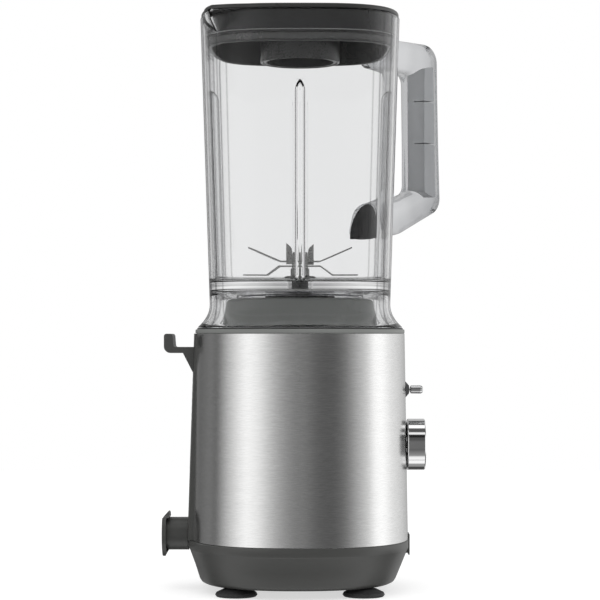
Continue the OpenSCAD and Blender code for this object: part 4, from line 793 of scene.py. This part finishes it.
lid_edge = [
    (lid_top, lid_half - 1.4, 7.0), (lid_top - 0.15, lid_half - 0.7, 7.2),
    (lid_top - 0.5, lid_half - 0.2, 7.4), (lid_top - 1.0, lid_half, 7.4),
    (lid_low + 0.5, lid_half, 7.4), (lid_low + 0.1, lid_half - 0.2, 7.3),
    (lid_low, lid_half - 0.6, 7.0)]
plug_in = plug_half - plug_wall
plug = [
    (lid_low, plug_half + 0.4), (lid_low - 0.4, plug_half), (plug_low + 1.5, plug_half),
    (plug_low + 0.6, plug_half - 0.3), (plug_low + 0.15, plug_half - 0.8),
    (plug_low, plug_half - 1.3), (plug_low + 0.15, plug_half - 1.8),
    (plug_low + 0.6, plug_in + 0.1), (plug_low + 1.2, plug_in), (lid_low - 0.8, plug_in),
    (lid_low, plug_in - 0.8)]
collar_in = collar_r - collar_t
collar = [
    (lid_low, collar_r + 0.8), (lid_low - 0.8, collar_r), (collar_low + 0.9, collar_r),
    (collar_low + 0.25, collar_r - 0.3), (collar_low, collar_r - 0.9),
    (collar_low + 0.2, collar_in + 0.3), (collar_low + 0.8, collar_in),
    (lid_top - cap_sink, collar_in), (lid_top - cap_sink, cap_well), (lid_top - 0.6, cap_well)]
lid = hooped("lid_moulding", [
    lid_ring(lid_top, cap_well + 0.6, 2), lid_ring(lid_top, 60, 3, 2),
    *(lid_ring(z, half, tongue=tongue) for z, half, tongue in lid_edge),
    *(lid_ring(z, half) for z, half in plug), *(lid_ring(z, half, 2) for z, half in collar)], 35)
lid_grey = moulded("lid_grey", (0.036, 0.036, 0.035), (0.044, 0.044, 0.043), 0.28, relief=0)
lid.data.materials.append(lid_grey)
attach(lid, "lid")
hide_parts("lid")
dress(lid_grey, "filler_cap")

# ---- Lid seals ----
# Two bands of soft rubber, stretched over the lid's plug so that they press against the jug, and a
# rubber ring let into a groove round the filler cap.
seal_gap, upper_low = 0.4, 8.2
seal_rubber = moulded("seal_rubber", (0.050, 0.050, 0.049), (0.066, 0.066, 0.065), 0.26,
                      relief=0, gloss=0.9)
seal_black = moulded("upper_seal_black", (0.012, 0.012, 0.0118), (0.018, 0.018, 0.0176), 0.22,
                     relief=0)


def seal_half(low):
    """Half width of a band that starts a height above the plug's lower end."""
    return jug_half(plug_low + low) - wall_t - seal_gap


for name, finish, low, high, ease in (("lower_seal_band", seal_rubber, 1.0, 6.5, 1.2),
                                      ("upper_seal_band", seal_black, upper_low, 23.4, 1.1)):
    edge = seal_half(low)
    turns = [math.pi / 2 * k / 6 for k in range(7)]
    bend = [(ease * (1 - math.cos(t)), edge - ease * (1 - math.sin(t))) for t in turns]
    rows = [(plug_low + low + rise, half) for rise, half in bend]
    rows += [(plug_low + high - rise, half) for rise, half in reversed(bend)]
    rows = [(plug_low + low, plug_half + 0.1), *rows, (plug_low + high, plug_half + 0.1)]
    band = hooped(name, [lid_ring(z, half) for z, half in rows], 50)
    band.data.materials.append(finish)
    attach(band, "lid")
    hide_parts("lid_seals")
dress(seal_rubber, "cap_seal")

# ---- Lips with painted highlights ----
# The lower edges of the upper band and of the plug stand out as thin lips of the same rubber and
# plastic. Their light colours are painted highlights, for the light caught on the rounded edges.
lip_r, lip_points = 0.4, 10
# Painted highlights: lighter colours than the rubber and the plastic
bright_lip_highlight = moulded("seal_lip_highlight", (0.26, 0.26, 0.26), (0.38, 0.38, 0.375), 0.3, relief=0)
dim_lip_highlight = moulded("plug_lip_highlight", (0.10, 0.10, 0.10), (0.15, 0.15, 0.148), 0.3, relief=0)
for name, finish, rise, half, replaced, slot in (
        ("upper_seal_lip", bright_lip_highlight, upper_low + 0.3, seal_half(upper_low) - 0.3, "lid_seals",
         "seal_rubber"),
        ("plug_lip_highlight", dim_lip_highlight, 0.35, plug_half - 0.5, "lid", "lid_plastic")):
    turns = [math.tau * k / lip_points for k in range(lip_points)]
    lip = hooped(name, [lid_ring(plug_low + rise + lip_r * math.sin(t), half + lip_r * math.cos(t))
                        for t in turns], 60)
    lip.data.materials.append(finish)
    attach(lip, "lid")
    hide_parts(replaced)
